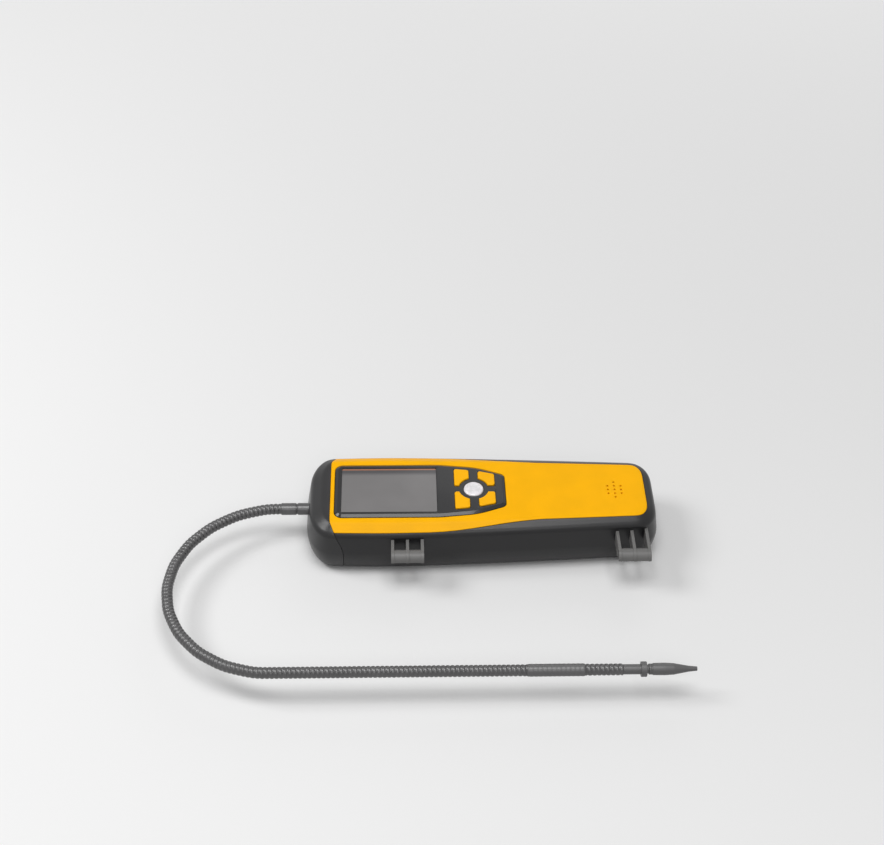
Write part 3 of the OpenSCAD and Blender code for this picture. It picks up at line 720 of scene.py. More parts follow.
class HousingForm:
    """The housing as a plan outline with a section at each of its points: a rounded back edge, a side that
    leans in, a crease, a sloping shoulder and the brow of the flat face."""

    PLAN_POINTS = 720
    # Along and across the housing, the reach of the plan's corners
    NOSE_CORNER = (15 * MM, 22 * MM)
    TAIL_CORNER = (14 * MM, 15 * MM)
    SMOOTHING = 3
    # The plan is widest at this share of the length from the middle, and draws in towards both ends
    WIDEST = -0.26
    GRIP_RUN, GRIP_POWER = 0.69, 1.35
    NOSE_RUN, NOSE_DRAW = 0.18, 0.12
    # Where the parting line begins to climb, and over what length
    CLIMB_START, CLIMB_RUN = -32 * MM, 68 * MM
    # The nose seam's bends, above the waist and below the face, and its sweep from the waist to the face
    SEAM_BENDS = (5 * MM, 3.5 * MM)
    SEAM_SWEEP = (8 * MM, 7 * MM, 3.2 * MM, 0.3 * MM)

    def __init__(self, sizes):
        self.sizes = sizes
        self.nose = low("nose_cap").x
        self.tail = high("rear_case").x
        self.seam_x = self.nose + sizes.nose_length
        self.plan = self._outline()
        step = np.roll(self.plan, -1, 0) - np.roll(self.plan, 1, 0)
        step /= np.linalg.norm(step, axis=1)[:, None]
        self.inward = np.column_stack([step[:, 1], -step[:, 0]])
        taper = np.clip(self._taper(self.plan[:, 0] / (self.tail - self.nose)), 0, 1)
        lean = sizes.side_lean + sizes.end_lean * self.inward[:, 0] ** 2
        slope = sizes.tail_shoulder + (sizes.head_shoulder - sizes.tail_shoulder) * taper
        self.sections = np.array([self._section(*pair) for pair in zip(lean, slope)])
        self.steps = np.linspace(0, 1, self.sections.shape[1])

    @classmethod
    def _taper(cls, u):
        """Share of the head's extra width at a share of the length from the middle."""
        grip = 1 - (np.maximum(u - cls.WIDEST, 0) / cls.GRIP_RUN) ** cls.GRIP_POWER
        nose = 1 - cls.NOSE_DRAW * ((cls.WIDEST - u) / cls.NOSE_RUN) ** 2
        return np.where(u > cls.WIDEST, grip, nose)

    def half_width(self, x):
        """Half the width of the plan at x, before the corners."""
        s = self.sizes
        return s.tail_width / 2 + (s.head_width - s.tail_width) / 2 * self._taper(x / (self.tail - self.nose))

    def _outline(self):
        """The plan as even points, clockwise from the nose, with its corners eased."""
        turn = np.linspace(0, math.pi / 2, 60)
        (nose_x, nose_y), (tail_x, tail_y) = self.NOSE_CORNER, self.TAIL_CORNER
        first, last = self.nose + nose_x, self.tail - tail_x
        side = np.linspace(first, last, 240)[1:-1]
        half = np.vstack([
            [[self.nose, 0]],
            np.column_stack([self.nose + nose_x * (1 - np.cos(turn)),
                             self.half_width(first) - nose_y * (1 - np.sin(turn))]),
            np.column_stack([side, self.half_width(side)]),
            np.column_stack([self.tail - tail_x * (1 - np.sin(turn)),
                             self.half_width(last) - tail_y * (1 - np.cos(turn))]),
            [[self.tail, 0]]])
        line = np.vstack([half, half[-2::-1] * (1, -1)])
        gone = distance_along(line)
        even = np.linspace(0, gone[-1], self.PLAN_POINTS, endpoint=False)
        plan = np.column_stack([np.interp(even, gone, line[:, k]) for k in (0, 1)])
        reach = np.arange(-3 * self.SMOOTHING, 3 * self.SMOOTHING + 1)
        weights = np.exp(-0.5 * (reach / self.SMOOTHING) ** 2)
        return sum(w * np.roll(plan, k, 0) for k, w in zip(reach, weights / weights.sum()))

    def _section(self, lean, slope):
        """Inset and height from the waist up to the face, at one point of the plan."""
        s = self.sizes
        waist = np.array([0.0, s.waist])
        crease = np.array([lean, s.thickness - s.shoulder_fall * slope])
        edge = np.array([lean + slope, s.thickness])
        bend = corner_arc(waist, crease, edge, s.crease_radius, 14)
        brow = corner_arc(crease, edge, edge + (s.brow_radius, 0), s.brow_radius, 8)
        side = [waist + (bend[0] - waist) * t for t in np.linspace(0, 1, 10, endpoint=False)]
        facet = [bend[-1] + (brow[0] - bend[-1]) * t for t in np.linspace(0, 1, 6, endpoint=False)[1:]]
        return np.array([*side, *bend, *facet, *brow])

    def ring(self, place):
        """The closed ring at a place up the section: -1 at the back, 0 at the waist, 1 at the face."""
        s = self.sizes
        place = np.broadcast_to(place, self.PLAN_POINTS)
        turn = np.minimum(place, 0) * math.pi / 2
        upper = np.array([[np.interp(p, self.steps, section[:, j]) for j in (0, 1)]
                          for p, section in zip(place, self.sections)])
        inset = np.where(place < 0, s.back_edge * (1 - np.cos(turn)), upper[:, 0])
        rise = np.where(place < 0, s.waist * (1 + np.sin(turn)), upper[:, 1])
        return np.column_stack([self.plan + self.inward * inset[:, None], rise])

    def parting(self, lift):
        """Place up the section of the line between cover and case, moved up the surface by lift."""
        s = self.sizes
        t = np.clip((self.plan[:, 0] - self.CLIMB_START) / self.CLIMB_RUN, 0, 1)
        heights = s.thickness - s.skirt_head + (s.skirt_head - s.skirt_tail) * t * t * (3 - 2 * t)
        places = []
        for height, section in zip(heights, self.sections):
            gone = distance_along(section)
            places.append(np.interp(np.interp(height, section[:, 1], gone) + lift, gone, self.steps))
        return np.array(places)

    def seam(self, z):
        """Where the nose seam runs at a height: swept back down the sides."""
        s = self.sizes
        lower, upper = self.SEAM_BENDS
        heights = [s.waist, s.waist + lower, s.thickness - upper, s.thickness]
        return self.seam_x + np.interp(z, heights, self.SEAM_SWEEP)

    def stretch(self, ring, clear, count, nose):
        """The part of a ring before or behind the nose seam, as count points."""
        n = self.PLAN_POINTS
        past = ring[:, 0] - self.seam(ring[:, 2]) - clear
        half = n // 2
        k = int(np.argmax(past[:half] > 0))
        m = half + int(np.argmax(past[half:] <= 0))
        start = k - past[k] / (past[k] - past[k - 1])
        stop = m - 1 + past[m - 1] / (past[m - 1] - past[m])
        spots = np.linspace(stop, start + n, count) if nose else np.linspace(start, stop, count)
        closed = np.vstack([ring, ring[:1]])
        return np.column_stack([np.interp(spots % n, np.arange(n + 1), closed[:, j]) for j in range(3)])


def close_level(surface, numbers, holes, up, spacing=5 * MM, steps=24):
    """Fills the flat face inside an open row, with a straight line across its ends, leaving holes."""
    first, last = np.array(surface.points[numbers[0]]), np.array(surface.points[numbers[-1]])
    across = surface.add([last + (first - last) * k / steps for k in range(1, steps)])
    level = first[2]
    surface.fill([numbers + across] + [surface.add(at_level(hole, level)) for hole in holes], spacing, up)


def shell(form, places, clear, count, nose, top_holes=None, back_holes=None):
    """A skin from rows of places up the section, closed at the face or the back where holes are given."""
    surface = Surface()
    rows = surface.grid([form.stretch(form.ring(place), clear, count, nose) for place in places])
    if top_holes is not None:
        close_level(surface, rows[-1], top_holes, True)
    if back_holes is not None:
        close_level(surface, rows[0], back_holes, False)
    return surface


def window_outline(grow):
    """Outline of the window insert, grown by a margin: square beside the display, drawn in past the keys."""
    rim = 1.5 * MM
    x0, x1 = low("window_frame").x + rim, high("window_frame").x - rim
    half = high("window_frame").y - rim
    bend, turn = key_centre() - 20 * MM, key_centre() + 2 * MM
    turn_draw, tail_draw = 2.4 * MM, 8.6 * MM
    corners = [(x0, -half), (bend, -half), (turn, -half + turn_draw), (x1, -half + tail_draw)]
    corners += [(x, -y) for x, y in reversed(corners)]
    head, tail, easy = 4.6 * MM + grow, 3.6 * MM + grow, 45 * MM
    return rounded(widened(corners, grow), [head, easy, easy, tail, tail, easy, easy, head], 10)


def key_centre():
    """Place of the round key along the housing."""
    return middle("centre_key", "x")


# Quarter keys left and right of the round key, in mm from its centre: inner side, outer side, foot, and the
# height of the inner and of the outer side
KEY_SIDES = {-1: (2.5, 11.1, 2.5, 15.2, 16.2), 1: (2.8, 12.4, 2.6, 14.3, 11.9)}
KEY_CORNER = 0.9 * MM


def key_outline(sx, sy, grow):
    """Outline of one quarter key, with its inner corner cut by the ring round the centre key."""
    pad = settings().keypad
    inner, outer, near, tall_in, tall_out = KEY_SIDES[sx]
    inner, near = (v * MM - grow for v in (inner, near))
    outer, tall_in, tall_out = (v * MM + grow for v in (outer, tall_in, tall_out))
    cut = pad.dome_radius + pad.ring_width - grow
    turns = np.linspace(math.acos(inner / cut), math.asin(near / cut), 14)
    arc = [np.array([cut * math.cos(t), cut * math.sin(t)]) for t in turns]
    far = [np.array(p) for p in ((outer, near), (outer, tall_out), (inner, tall_in))]
    ring = [arc[-1], *far, arc[0]]
    soft = [p for k in range(1, 4) for p in corner_arc(ring[k - 1], ring[k], ring[k + 1], KEY_CORNER, 5)]
    outline = np.array([*arc, *soft]) * (sx, sy)
    return (outline if sx * sy > 0 else outline[::-1]) + (key_centre(), 0)


def screw_places():
    """Centres of the case screws, from the four separate solids of their node."""
    points = np.array([v.co for v in frame["nodes"]["case_screws"].data.vertices])
    places = []
    for sx in (-1, 1):
        for sy in (-1, 1):
            part = points[(np.sign(points[:, 0]) == sx) & (np.sign(points[:, 1]) == sy)]
            places.append((part[:, :2].min(0) + part[:, :2].max(0)) / 2)
    return places


def sound_holes(radius):
    """Outlines of the eleven sound holes: three, five and three in a row."""
    centre = middle("sounder", "x")
    along, across = 3.85 * MM, 3.0 * MM
    return [circle((centre + along * c, across * r), radius, 16)
            for c in (-1, 0, 1) for r in range(abs(c) - 2, 3 - abs(c))]


class DETECTOR_OT_housing(bpy.types.Operator):
    """Face cover, lower case and nose cap as moulded shells with rounded seams"""

    bl_idname = "detector.housing"
    bl_label = "Housing"

    COVER_EDGE, HOLE_EDGE, HOLE_RADIUS = 0.4 * MM, 0.12 * MM, 0.65 * MM
    # Longest sound hole and longest window opening, by which the cover's loops are told apart
    HOLE_REACH, WINDOW_REACH = 3 * MM, 120 * MM
    COVER_ROWS, CASE_ROWS, NOSE_ROWS = 22, 56, 80
    SIDE_POINTS, NOSE_POINTS = 340, 130

    def execute(self, context):
        s, pad, tone = settings().housing, settings().keypad, settings().finish
        form = HousingForm(s)
        clear = s.seam_gap / 2 + s.edge_radius

        def cover_radius(loop):
            """Rounding of a sound hole, of the window's opening or of the outer edge."""
            reach = np.ptp(loop[:, 0])
            if reach < self.HOLE_REACH:
                return self.HOLE_EDGE
            return self.COVER_EDGE if reach < self.WINDOW_REACH else s.edge_radius

        start = form.parting(clear)
        opening = window_outline(pad.window_gap + self.COVER_EDGE)
        holes = [opening, *sound_holes(self.HOLE_RADIUS + self.HOLE_EDGE)]
        rows = [start + (1 - start) * f for f in np.linspace(0, 1, self.COVER_ROWS)]
        cover = shell(form, rows, clear, self.SIDE_POINTS, False, top_holes=holes)
        yellow = moulded_plastic("Yellow cover", tone.cover, rough=0.42, grain=0.45 * MM, depth=0.02 * MM,
                                 scuff=0.06, specular=0.1)
        piece("face_cover", thicken(cover, s.wall, cover_radius), yellow, "housing",
              ["front_panel"])

        top = form.parting(-clear)
        rows = [-1 + (top + 1) * f for f in np.linspace(0, 1, self.CASE_ROWS)]
        case = shell(form, rows, clear, self.SIDE_POINTS, False, back_holes=[])
        charcoal = moulded_plastic("Charcoal case", tone.case, rough=0.29, grain=0.55 * MM, depth=0.03 * MM,
                                   scuff=0.15, specular=0.36)
        lower = piece("lower_case", thicken(case, s.wall, s.edge_radius), charcoal, "housing",
                      ["rear_case"])
        self.cut_openings(lower, s.screw_recess)

        rows = np.linspace(-1, 1, self.NOSE_ROWS)
        nose = shell(form, rows, -clear, self.NOSE_POINTS, True, top_holes=[], back_holes=[])
        soft = moulded_plastic("Nose rubber", tone.nose, rough=0.32, grain=0.6 * MM, depth=0.03 * MM,
                               scuff=0.2, specular=0.44)
        piece("nose_boot", thicken(nose, s.wall, s.edge_radius), soft, "housing", ["nose_cap"])
        return {"FINISHED"}

    @staticmethod
    def cut_openings(lower, recess):
        """Opens the charging port in the tail and the recesses of the case screws in the back."""
        across, tall, corner = 5.6 * MM, 3.2 * MM, 3 * MM
        past_tail, screw_depth, cutter_length = 4 * MM, 5 * MM, 14 * MM
        port = rounded([(-across, -tall), (across, -tall), (across, tall), (-across, tall)], corner, 8)
        to_tail = (Matrix.Translation((high("rear_case").x + past_tail, 0, middle("usb_socket", "z")))
                   @ Matrix(((0, 0, 1, 0), (1, 0, 0, 0), (0, 1, 0, 0), (0, 0, 0, 1))))
        to_back = Matrix.Translation((0, 0, screw_depth))
        outlines = [(port, to_tail)] + [(circle(spot, recess, 40), to_back) for spot in screw_places()]
        solids = []
        for outline, place in outlines:
            points, faces = thicken(plate(outline, 0.0, 3 * MM), cutter_length, 1e-6)
            solids.append(([tuple(place @ Vector(p)) for p in points], faces))
        points, faces = joined(solids)
        mesh = bpy.data.meshes.new("opening_cutter")
        mesh.from_pydata(points, [], faces)
        cutter = bpy.data.objects.new("opening_cutter", mesh)
        bpy.context.scene.collection.objects.link(cutter)
        cut = lower.modifiers.new("Openings", "BOOLEAN")
        cut.object = cutter
        cut.solver = "EXACT"
        bpy.context.view_layer.update()
        graph = bpy.context.evaluated_depsgraph_get()
        result = bpy.data.meshes.new_from_object(lower.evaluated_get(graph), depsgraph=graph)
        lower.modifiers.clear()
        lower.data = result
        even_shading(lower)
        bpy.data.objects.remove(cutter)


class DETECTOR_OT_keypad(bpy.types.Operator):
    """Window insert, display lens, quarter keys and the round centre key"""

    bl_idname = "detector.keypad"
    bl_label = "Display and keys"

    def execute(self, context):
        pad, tone = settings().keypad, settings().finish
        level = high("window_frame").z
        small, lip = 0.15 * MM, 0.35 * MM
        lens = self.lens_corners()
        surface = Surface()
        slope = [(small, level - pad.rim_rise), (pad.rim_width, level), (pad.rim_width + lip, level)]
        slope = softened(slope, 1.2 * MM, 5)
        rings = [surface.add(at_level(window_outline(-pad.window_gap - inset), z)) for inset, z in slope]
        surface.band(rings)
        holes = [rounded(widened(lens, small), 1 * MM, 6),
                 circle((key_centre(), 0), pad.dome_radius + pad.key_gap + small, 48)]
        holes += [key_outline(sx, sy, pad.key_gap + small) for sx in (-1, 1) for sy in (-1, 1)]
        surface.fill([rings[-1]] + [surface.add(at_level(hole, level)) for hole in holes], 3 * MM)
        piece("window_insert", thicken(surface, 1.8 * MM, small), glossy_insert("Black insert", tone.insert),
              "housing", ["window_frame"])

        pane = plate(rounded(widened(lens, -0.2 * MM), 0.9 * MM, 6), high("display_lens").z, 4 * MM)
        piece("screen_window", thicken(pane, 1 * MM, 0.12 * MM), dark_screen("Dark screen", tone.screen),
              "housing", ["display_lens"])
        self.keys(pad, tone)
        return {"FINISHED"}

    @staticmethod
    def lens_corners():
        """Corners of the display lens."""
        a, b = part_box("display_lens")
        return [(a.x, a.y), (b.x, a.y), (b.x, b.y), (a.x, b.y)]

    def keys(self, pad, tone):
        """The five keys, each on its own body."""
        yellow = moulded_plastic("Yellow keys", tone.cover, rough=0.44, grain=0.35 * MM, depth=0.015 * MM,
                                 scuff=0.06, specular=0.15)
        for sy, rank in ((1, "top"), (-1, "bottom")):
            for sx, side in ((-1, "left"), (1, "right")):
                node = f"key_{rank}_{side}"
                skin = plate(key_outline(sx, sy, -pad.key_edge), high(node).z, 1.6 * MM)
                piece(node + "_cap", thicken(skin, 3 * MM, pad.key_edge, 5), yellow, f"{rank}_{side}_key",
                      [node])
        top, radius = high("centre_key").z, pad.dome_radius
        sag = 0.9 * MM
        brink, foot = top - sag, top - 4 * MM
        arch = [(top - sag * t ** 2, radius * t) for t in np.linspace(0, 0.92, 12)]
        edge = [(brink - 0.25 * MM, radius * 0.985), (brink - 0.7 * MM, radius)]
        profile = [(-z, r) for z, r in [*arch, *edge, (foot, radius), (foot, 0.0)]]
        upright = Matrix(((0, 0, 1, key_centre()), (0, 1, 0, 0), (-1, 0, 0, 0), (0, 0, 0, 1)))
        piece("round_key_cap", turned(profile, 72), pearl_plastic("Pearl key", tone.pearl), "round_key",
              ["centre_key"], upright)


class ClipForm:
    """Sections of a clip in the plane across the probe: x towards the case, y up, and the seat's centre
    at 0, 0."""

    MOUTH = math.radians(-50)
    WALL, RIB, ARM_DROP = 1.2 * MM, 1.55 * MM, 2.9 * MM

    def __init__(self, seat, arm, soft):
        self.inner = seat + soft
        self.shell = seat + self.WALL - soft
        self.crest = seat + self.RIB - soft
        self.arm_low = -self.ARM_DROP + soft
        self.arm_end = arm - soft

    @staticmethod
    def arc(radius, start, stop, steps):
        """Points of a round from one angle to another."""
        return [(radius * math.cos(t), radius * math.sin(t)) for t in np.linspace(start, stop, steps)]

    def lip(self, outer, angle, out_first):
        """The rounded end of a wall whose last point lies at an angle."""
        middle, reach = (outer + self.inner) / 2, (outer - self.inner) / 2
        back = -reach / middle if out_first else reach / middle
        centre = np.array([math.cos(angle + back), math.sin(angle + back)]) * middle
        start = angle + back if out_first else angle + back + math.pi
        return [tuple(centre + reach * np.array([math.cos(t), math.sin(t)]))
                for t in np.linspace(start, start + math.pi, 7)]

    def trough(self):
        """The shell that runs the length of the clip."""
        give = (self.shell - self.inner) / (self.shell + self.inner)
        outer = self.arc(self.shell, self.MOUTH + give, math.pi - give, 40)
        inner = self.arc(self.inner, math.pi - give, self.MOUTH + give, 40)
        return np.array([*outer[1:-1], *self.lip(self.shell, math.pi, True), *inner[1:-1],
                         *self.lip(self.shell, self.MOUTH, False)])

    def rib(self):
        """A rib with its arm to the case."""
        give = (self.crest - self.inner) / (self.crest + self.inner)
        foot = self.arm_low / math.tan(self.MOUTH)
        outer = self.arc(self.crest, math.pi / 2, math.pi - give, 16)
        inner = self.arc(self.inner, math.pi - give, self.MOUTH, 40)
        arm = [(foot, self.arm_low), (self.arm_end, self.arm_low), (self.arm_end, self.crest)]
        return np.array([*arm, *outer[:-1], *self.lip(self.crest, math.pi, True), *inner[1:]])


class DETECTOR_OT_clips(bpy.types.Operator):
    """Two ribbed clips on the near side that hold the probe"""

    bl_idname = "detector.clips"
    bl_label = "Probe clips"

    def execute(self, context):
        tone = settings().finish.clip
        grey = moulded_plastic("Grey clips", tone, rough=0.4, grain=0.4 * MM, depth=0.03 * MM, scuff=0.1)
        mount = next(m for m in frame["record"]["mounts"] if m["name"] == "probe_clips")
        centre_y, centre_z = mount["pos_m"][1:]
        place = Matrix(((0, 0, 1, 0), (1, 0, 0, centre_y), (0, 1, 0, centre_z), (0, 0, 0, 1)))
        rib, soft, inset = 1.8 * MM, 0.15 * MM, 0.2 * MM
        for name in ("front_clip", "rear_clip"):
            a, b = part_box(name)
            form = ClipForm(mount["dims"]["r_mm"] * MM, b.y - centre_y, soft)
            solids = [self.bar(form.trough(), a.x + inset, b.x - inset, soft)]
            for start in (a.x, (a.x + b.x - rib) / 2, b.x - rib):
                solids.append(self.bar(form.rib(), start, start + rib, soft))
            piece(name + "_grip", joined(solids), grey, "housing", [name], place)
        return {"FINISHED"}

    @staticmethod
    def bar(section, start, stop, soft):
        """A length of one section, with the edges of its ends rounded."""
        return thicken(plate(section, stop, 1.2 * MM), stop - start, soft, 3, True)


class NeckLine:
    """Centre line of the gooseneck: a half circle that touches every link, then a straight run. At each hinge
    it swells a little towards the hinge, so that the neck comes nearly straight when it unbends."""

    SWELL = 0.2 * MM

    def __init__(self, start_x):
        link = np.linalg.norm(HINGES[1] - HINGES[0])
        self.bend = math.pi / len(HINGES)
        self.radius = link / 2 / math.tan(self.bend / 2)
        self.centre = np.array([HINGES[0][0] + link / 2, (HINGES[0][1] + HINGES[-1][1]) / 2])
        self.lead = start_x - self.centre[0]
        self.arc = math.pi * self.radius

    def at(self, s):
        """Points and headings at distances from the start."""
        turn = np.clip((s - self.lead) / self.radius, 0, math.pi)
        before = np.minimum(s - self.lead, 0)
        after = np.maximum(s - self.lead - self.arc, 0)
        link_turn = turn * 2 * math.pi / self.bend
        radius = self.radius + self.SWELL / 2 * (1 - np.cos(link_turn))
        x = self.centre[0] - radius * np.sin(turn) - before + after
        y = self.centre[1] + radius * np.cos(turn)
        lean = np.arctan(self.SWELL / 2 * np.sin(link_turn) * 2 * math.pi / self.bend / radius)
        return np.column_stack([x, y]), math.pi + turn - lean

    def joint_at(self, k):
        """Distance of the middle of link k from the start."""
        return self.lead + self.bend * self.radius * k


def wound_tube(line, start, stop, outer, probe):
    """A length of gooseneck, wound like a coil, with flat ends."""
    count = max(8, int(round((stop - start) / probe.rib_pitch * probe.rib_steps)))
    s = np.linspace(start, stop, count + 1)
    spots, heading = line.at(s)
    turns = np.linspace(0, 2 * math.pi, probe.sides, endpoint=False)
    wave = s[:, None] / probe.rib_pitch - turns[None, :] / (2 * math.pi)
    across = 2 * (wave % 1.0) - 1
    bulge = (1 - np.abs(across) ** 2.2) ** 0.6
    radius = outer - probe.rib_depth * (1 - bulge)
    side = np.column_stack([-np.sin(heading), np.cos(heading)])
    points = np.empty((count + 1, probe.sides, 3))
    points[:, :, :2] = spots[:, None, :] + side[:, None, :] * (radius * np.cos(turns))[:, :, None]
    points[:, :, 2] = HINGES[0][2] + radius * np.sin(turns)
    faces = []
    n = probe.sides
    for k in range(count):
        for j in range(n):
            m = (j + 1) % n
            faces.append((k * n + j, (k + 1) * n + j, (k + 1) * n + m, k * n + m))
    flat = points.reshape(-1, 3).tolist()
    for k, order in ((0, 1), (count, -1)):
        flat.append([*spots[k], HINGES[0][2]])
        for j in range(n):
            ring = (k * n + j, k * n + (j + 1) % n, len(flat) - 1)
            faces.append(ring[::order])
    return flat, faces


class DETECTOR_OT_gooseneck(bpy.types.Operator):
    """Wound gooseneck: eleven lengths along the links, and the straight run"""

    bl_idname = "detector.gooseneck"
    bl_label = "Gooseneck"

    def execute(self, context):
        probe, tone = settings().probe, settings().finish
        outer = span("neck_run", "z") / 2
        in_ferrule = 1.5 * MM
        line = NeckLine(low("neck_ferrule").x + in_ferrule)
        black = coated_wire("Black gooseneck", tone.neck, rough=0.27)
        for k in range(1, len(HINGES) + 1):
            start = 0.0 if k == 1 else line.joint_at(k - 1)
            node = [f"neck_link_{k}"] if k < len(HINGES) else []
            if k == 1:
                node.append("neck_root")
            tube = wound_tube(line, start, line.joint_at(k), outer, probe)
            obj = piece(f"neck_flex_{k:02d}", tube, black, None, node, sharp=SHARP_RIB)
            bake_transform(obj)
        straight = line.lead + line.arc + (high("neck_run").x - line.centre[0])
        tail_length = span("neck_end", "x")
        tail = straight + tail_length + span("neck_sleeve", "x")
        lengths = {"neck_straight": ("neck_run", line.joint_at(len(HINGES)), straight),
                   "neck_tail": ("neck_end", tail - tail_length, tail)}
        for name, (node, start, stop) in lengths.items():
            piece(name, wound_tube(line, start, stop, outer, probe), black, "probe_end", [node],
                  sharp=SHARP_RIB)
        return {"FINISHED"}


class DETECTOR_OT_probe_fittings(bpy.types.Operator):
    """Ferrule at the nose, smooth sleeve, tip adapter and fine nozzle"""

    bl_idname = "detector.probe_fittings"
    bl_label = "Probe fittings"

    def execute(self, context):
        tone = settings().finish
        metal = coated_wire("Black ferrule", shade(tone.neck, 1.2), rough=0.26)
        rubber = moulded_plastic("Shrunk sleeve", tone.sleeve, rough=0.38, grain=0.6 * MM, depth=0.02 * MM,
                                 scuff=0.1, specular=0.9)
        plastic = moulded_plastic("Tip plastic", tone.sleeve, rough=0.4, grain=0.4 * MM, depth=0.02 * MM,
                                  scuff=0.1, specular=0.8)
        self.ferrule(metal)
        self.sleeve(rubber)
        self.tip(plastic)
        return {"FINISHED"}

    @staticmethod
    def along(x, y):
        """Place of a turned piece that starts at x and runs along +X."""
        return Matrix.Translation((x, y, HINGES[0][2]))

    def ferrule(self, material):
        """Ferrule with its groove, from the gooseneck into the nose."""
        outer = high("neck_ferrule").z - HINGES[0][2]
        mouth = low("neck_ferrule").x
        in_nose, before_nose, bevel = 3 * MM, 6 * MM, 0.4 * MM
        base = low("nose_cap").x + in_nose - mouth
        groove = base - in_nose - before_nose
        bottom, wide, narrow = outer - 0.45 * MM, 0.6 * MM, 0.3 * MM
        profile = softened([(0, 0), (0, outer - bevel), (bevel, outer), (groove - wide, outer),
                            (groove - narrow, bottom), (groove + narrow, bottom), (groove + wide, outer),
                            (base, outer), (base, 0)], 0.18 * MM)
        piece("probe_ferrule", turned(profile), material, "housing", ["neck_ferrule"],
              self.along(mouth, HINGES[0][1]))

    def sleeve(self, material):
        """Shrunk sleeve: the ribs under it show as a faint swell."""
        outer, length = span("neck_sleeve", "z") / 2, span("neck_sleeve", "x")
        pitch = settings().probe.rib_pitch
        middle_line, swell, end = outer - 0.05 * MM, 0.04 * MM, 0.7 * MM
        body = [(s, middle_line + swell * math.cos(2 * math.pi * s / pitch))
                for s in np.linspace(end, length - end, 120)]
        rim, edge, bevel = outer - 0.42 * MM, outer - 0.2 * MM, 0.25 * MM
        profile = [(0, 0), (0, rim), (bevel, edge), *body, (length - bevel, edge), (length, rim), (length, 0)]
        piece("shrunk_sleeve", turned(profile), material, "probe_end", ["neck_sleeve"],
              self.along(low("neck_sleeve").x, HINGES[-1][1]))

    def tip(self, material):
        """Adapter with its collar, and the nozzle drawn to a fine point."""
        collar, length = span("tip_adapter", "z") / 2, span("tip_adapter", "x")
        tube, neck, socket = 2.7 * MM, 2.35 * MM, 2.9 * MM
        collar_start, collar_end, neck_end = length - 5.6 * MM, length - 2.6 * MM, length - 1.5 * MM
        profile = softened([(0, 0), (0, tube), (collar_start, tube), (collar_start, collar),
                            (collar_end, collar), (collar_end, neck), (neck_end, neck),
                            (neck_end, socket), (length, socket), (length, 0)], 0.22 * MM)
        piece("tip_collar", turned(profile), material, "probe_end", ["tip_adapter"],
              self.along(low("tip_adapter").x, HINGES[-1][1]))
        fat, length = span("tip_nozzle", "z") / 2, span("tip_nozzle", "x")
        bore, bore_end = 0.6 * MM, length - 4 * MM
        stations = [(0, socket), (0.5 * MM, socket), (0.9 * MM, fat - 0.1 * MM), (7 * MM, fat),
                    (11.8 * MM, fat - 0.25 * MM), (16 * MM, 2.3 * MM), (19.8 * MM, 1.6 * MM),
                    (length, 1.15 * MM)]
        profile = [(0, 0), *softened(stations, 1.2 * MM, 5), (length, bore), (bore_end, bore), (bore_end, 0)]
        piece("tip_point", turned(profile), material, "probe_end", ["tip_nozzle"],
              self.along(low("tip_nozzle").x, HINGES[-1][1]))


class DETECTOR_OT_inner_works(bpy.types.Operator):
    """Finishes of the solids inside the housing and of the fasteners"""

    bl_idname = "detector.inner_works"
    bl_label = "Inner works"

    def execute(self, context):
        slots = {m["slot"]: tuple(m["base_color"][:3]) for m in frame["record"]["materials"]}
        steel = plain_metal("Plated steel", slots["screw_steel"], rough=0.28)
        black = moulded_plastic("Black moulding", slots["switch_black"], rough=0.5, grain=0.5 * MM,
                                depth=0.03 * MM)
        finishes = {
            "case_screws": steel, "board_screws": steel, "neck_lock_nut": steel, "usb_socket": steel,
            "pump_motor": plain_metal("Motor can", slots["motor_can"], rough=0.25),
            "gas_cell": plain_metal("Machined block", slots["cell_alu"], rough=0.35),
            "battery": moulded_plastic("Cell wrap", slots["cell_can"], rough=0.35, grain=0.8 * MM,
                                       depth=0.01 * MM),
            "main_board": circuit_board("Circuit board", slots["board_green"]),
            "display_panel": glossy_insert("Screen module", slots["display_glass"]),
            "key_switches": black, "sounder": black, "pump_head": black,
            "inlet_hose": soft_wad("Silicone hose", slots["hose_grey"]),
            "tip_filter": soft_wad("Filter wad", slots["filter_white"]),
        }
        finishes["link_hose"] = finishes["inlet_hose"]
        for node, material in finishes.items():
            mesh = frame["nodes"][node].data
            mesh.materials.clear()
            mesh.materials.append(material)
        return {"FINISHED"}


def backdrop_rays(tree):
    """1 for the rays that show the backdrop: straight from the camera, or by way of gloss or glass."""
    straight, gloss, glass = (Wire(tree).make("ShaderNodeLightPath", out=kind)
                              for kind in ("Is Camera Ray", "Is Glossy Ray", "Is Transmission Ray"))
    return (straight + gloss + glass).between(0.0, 1.0)


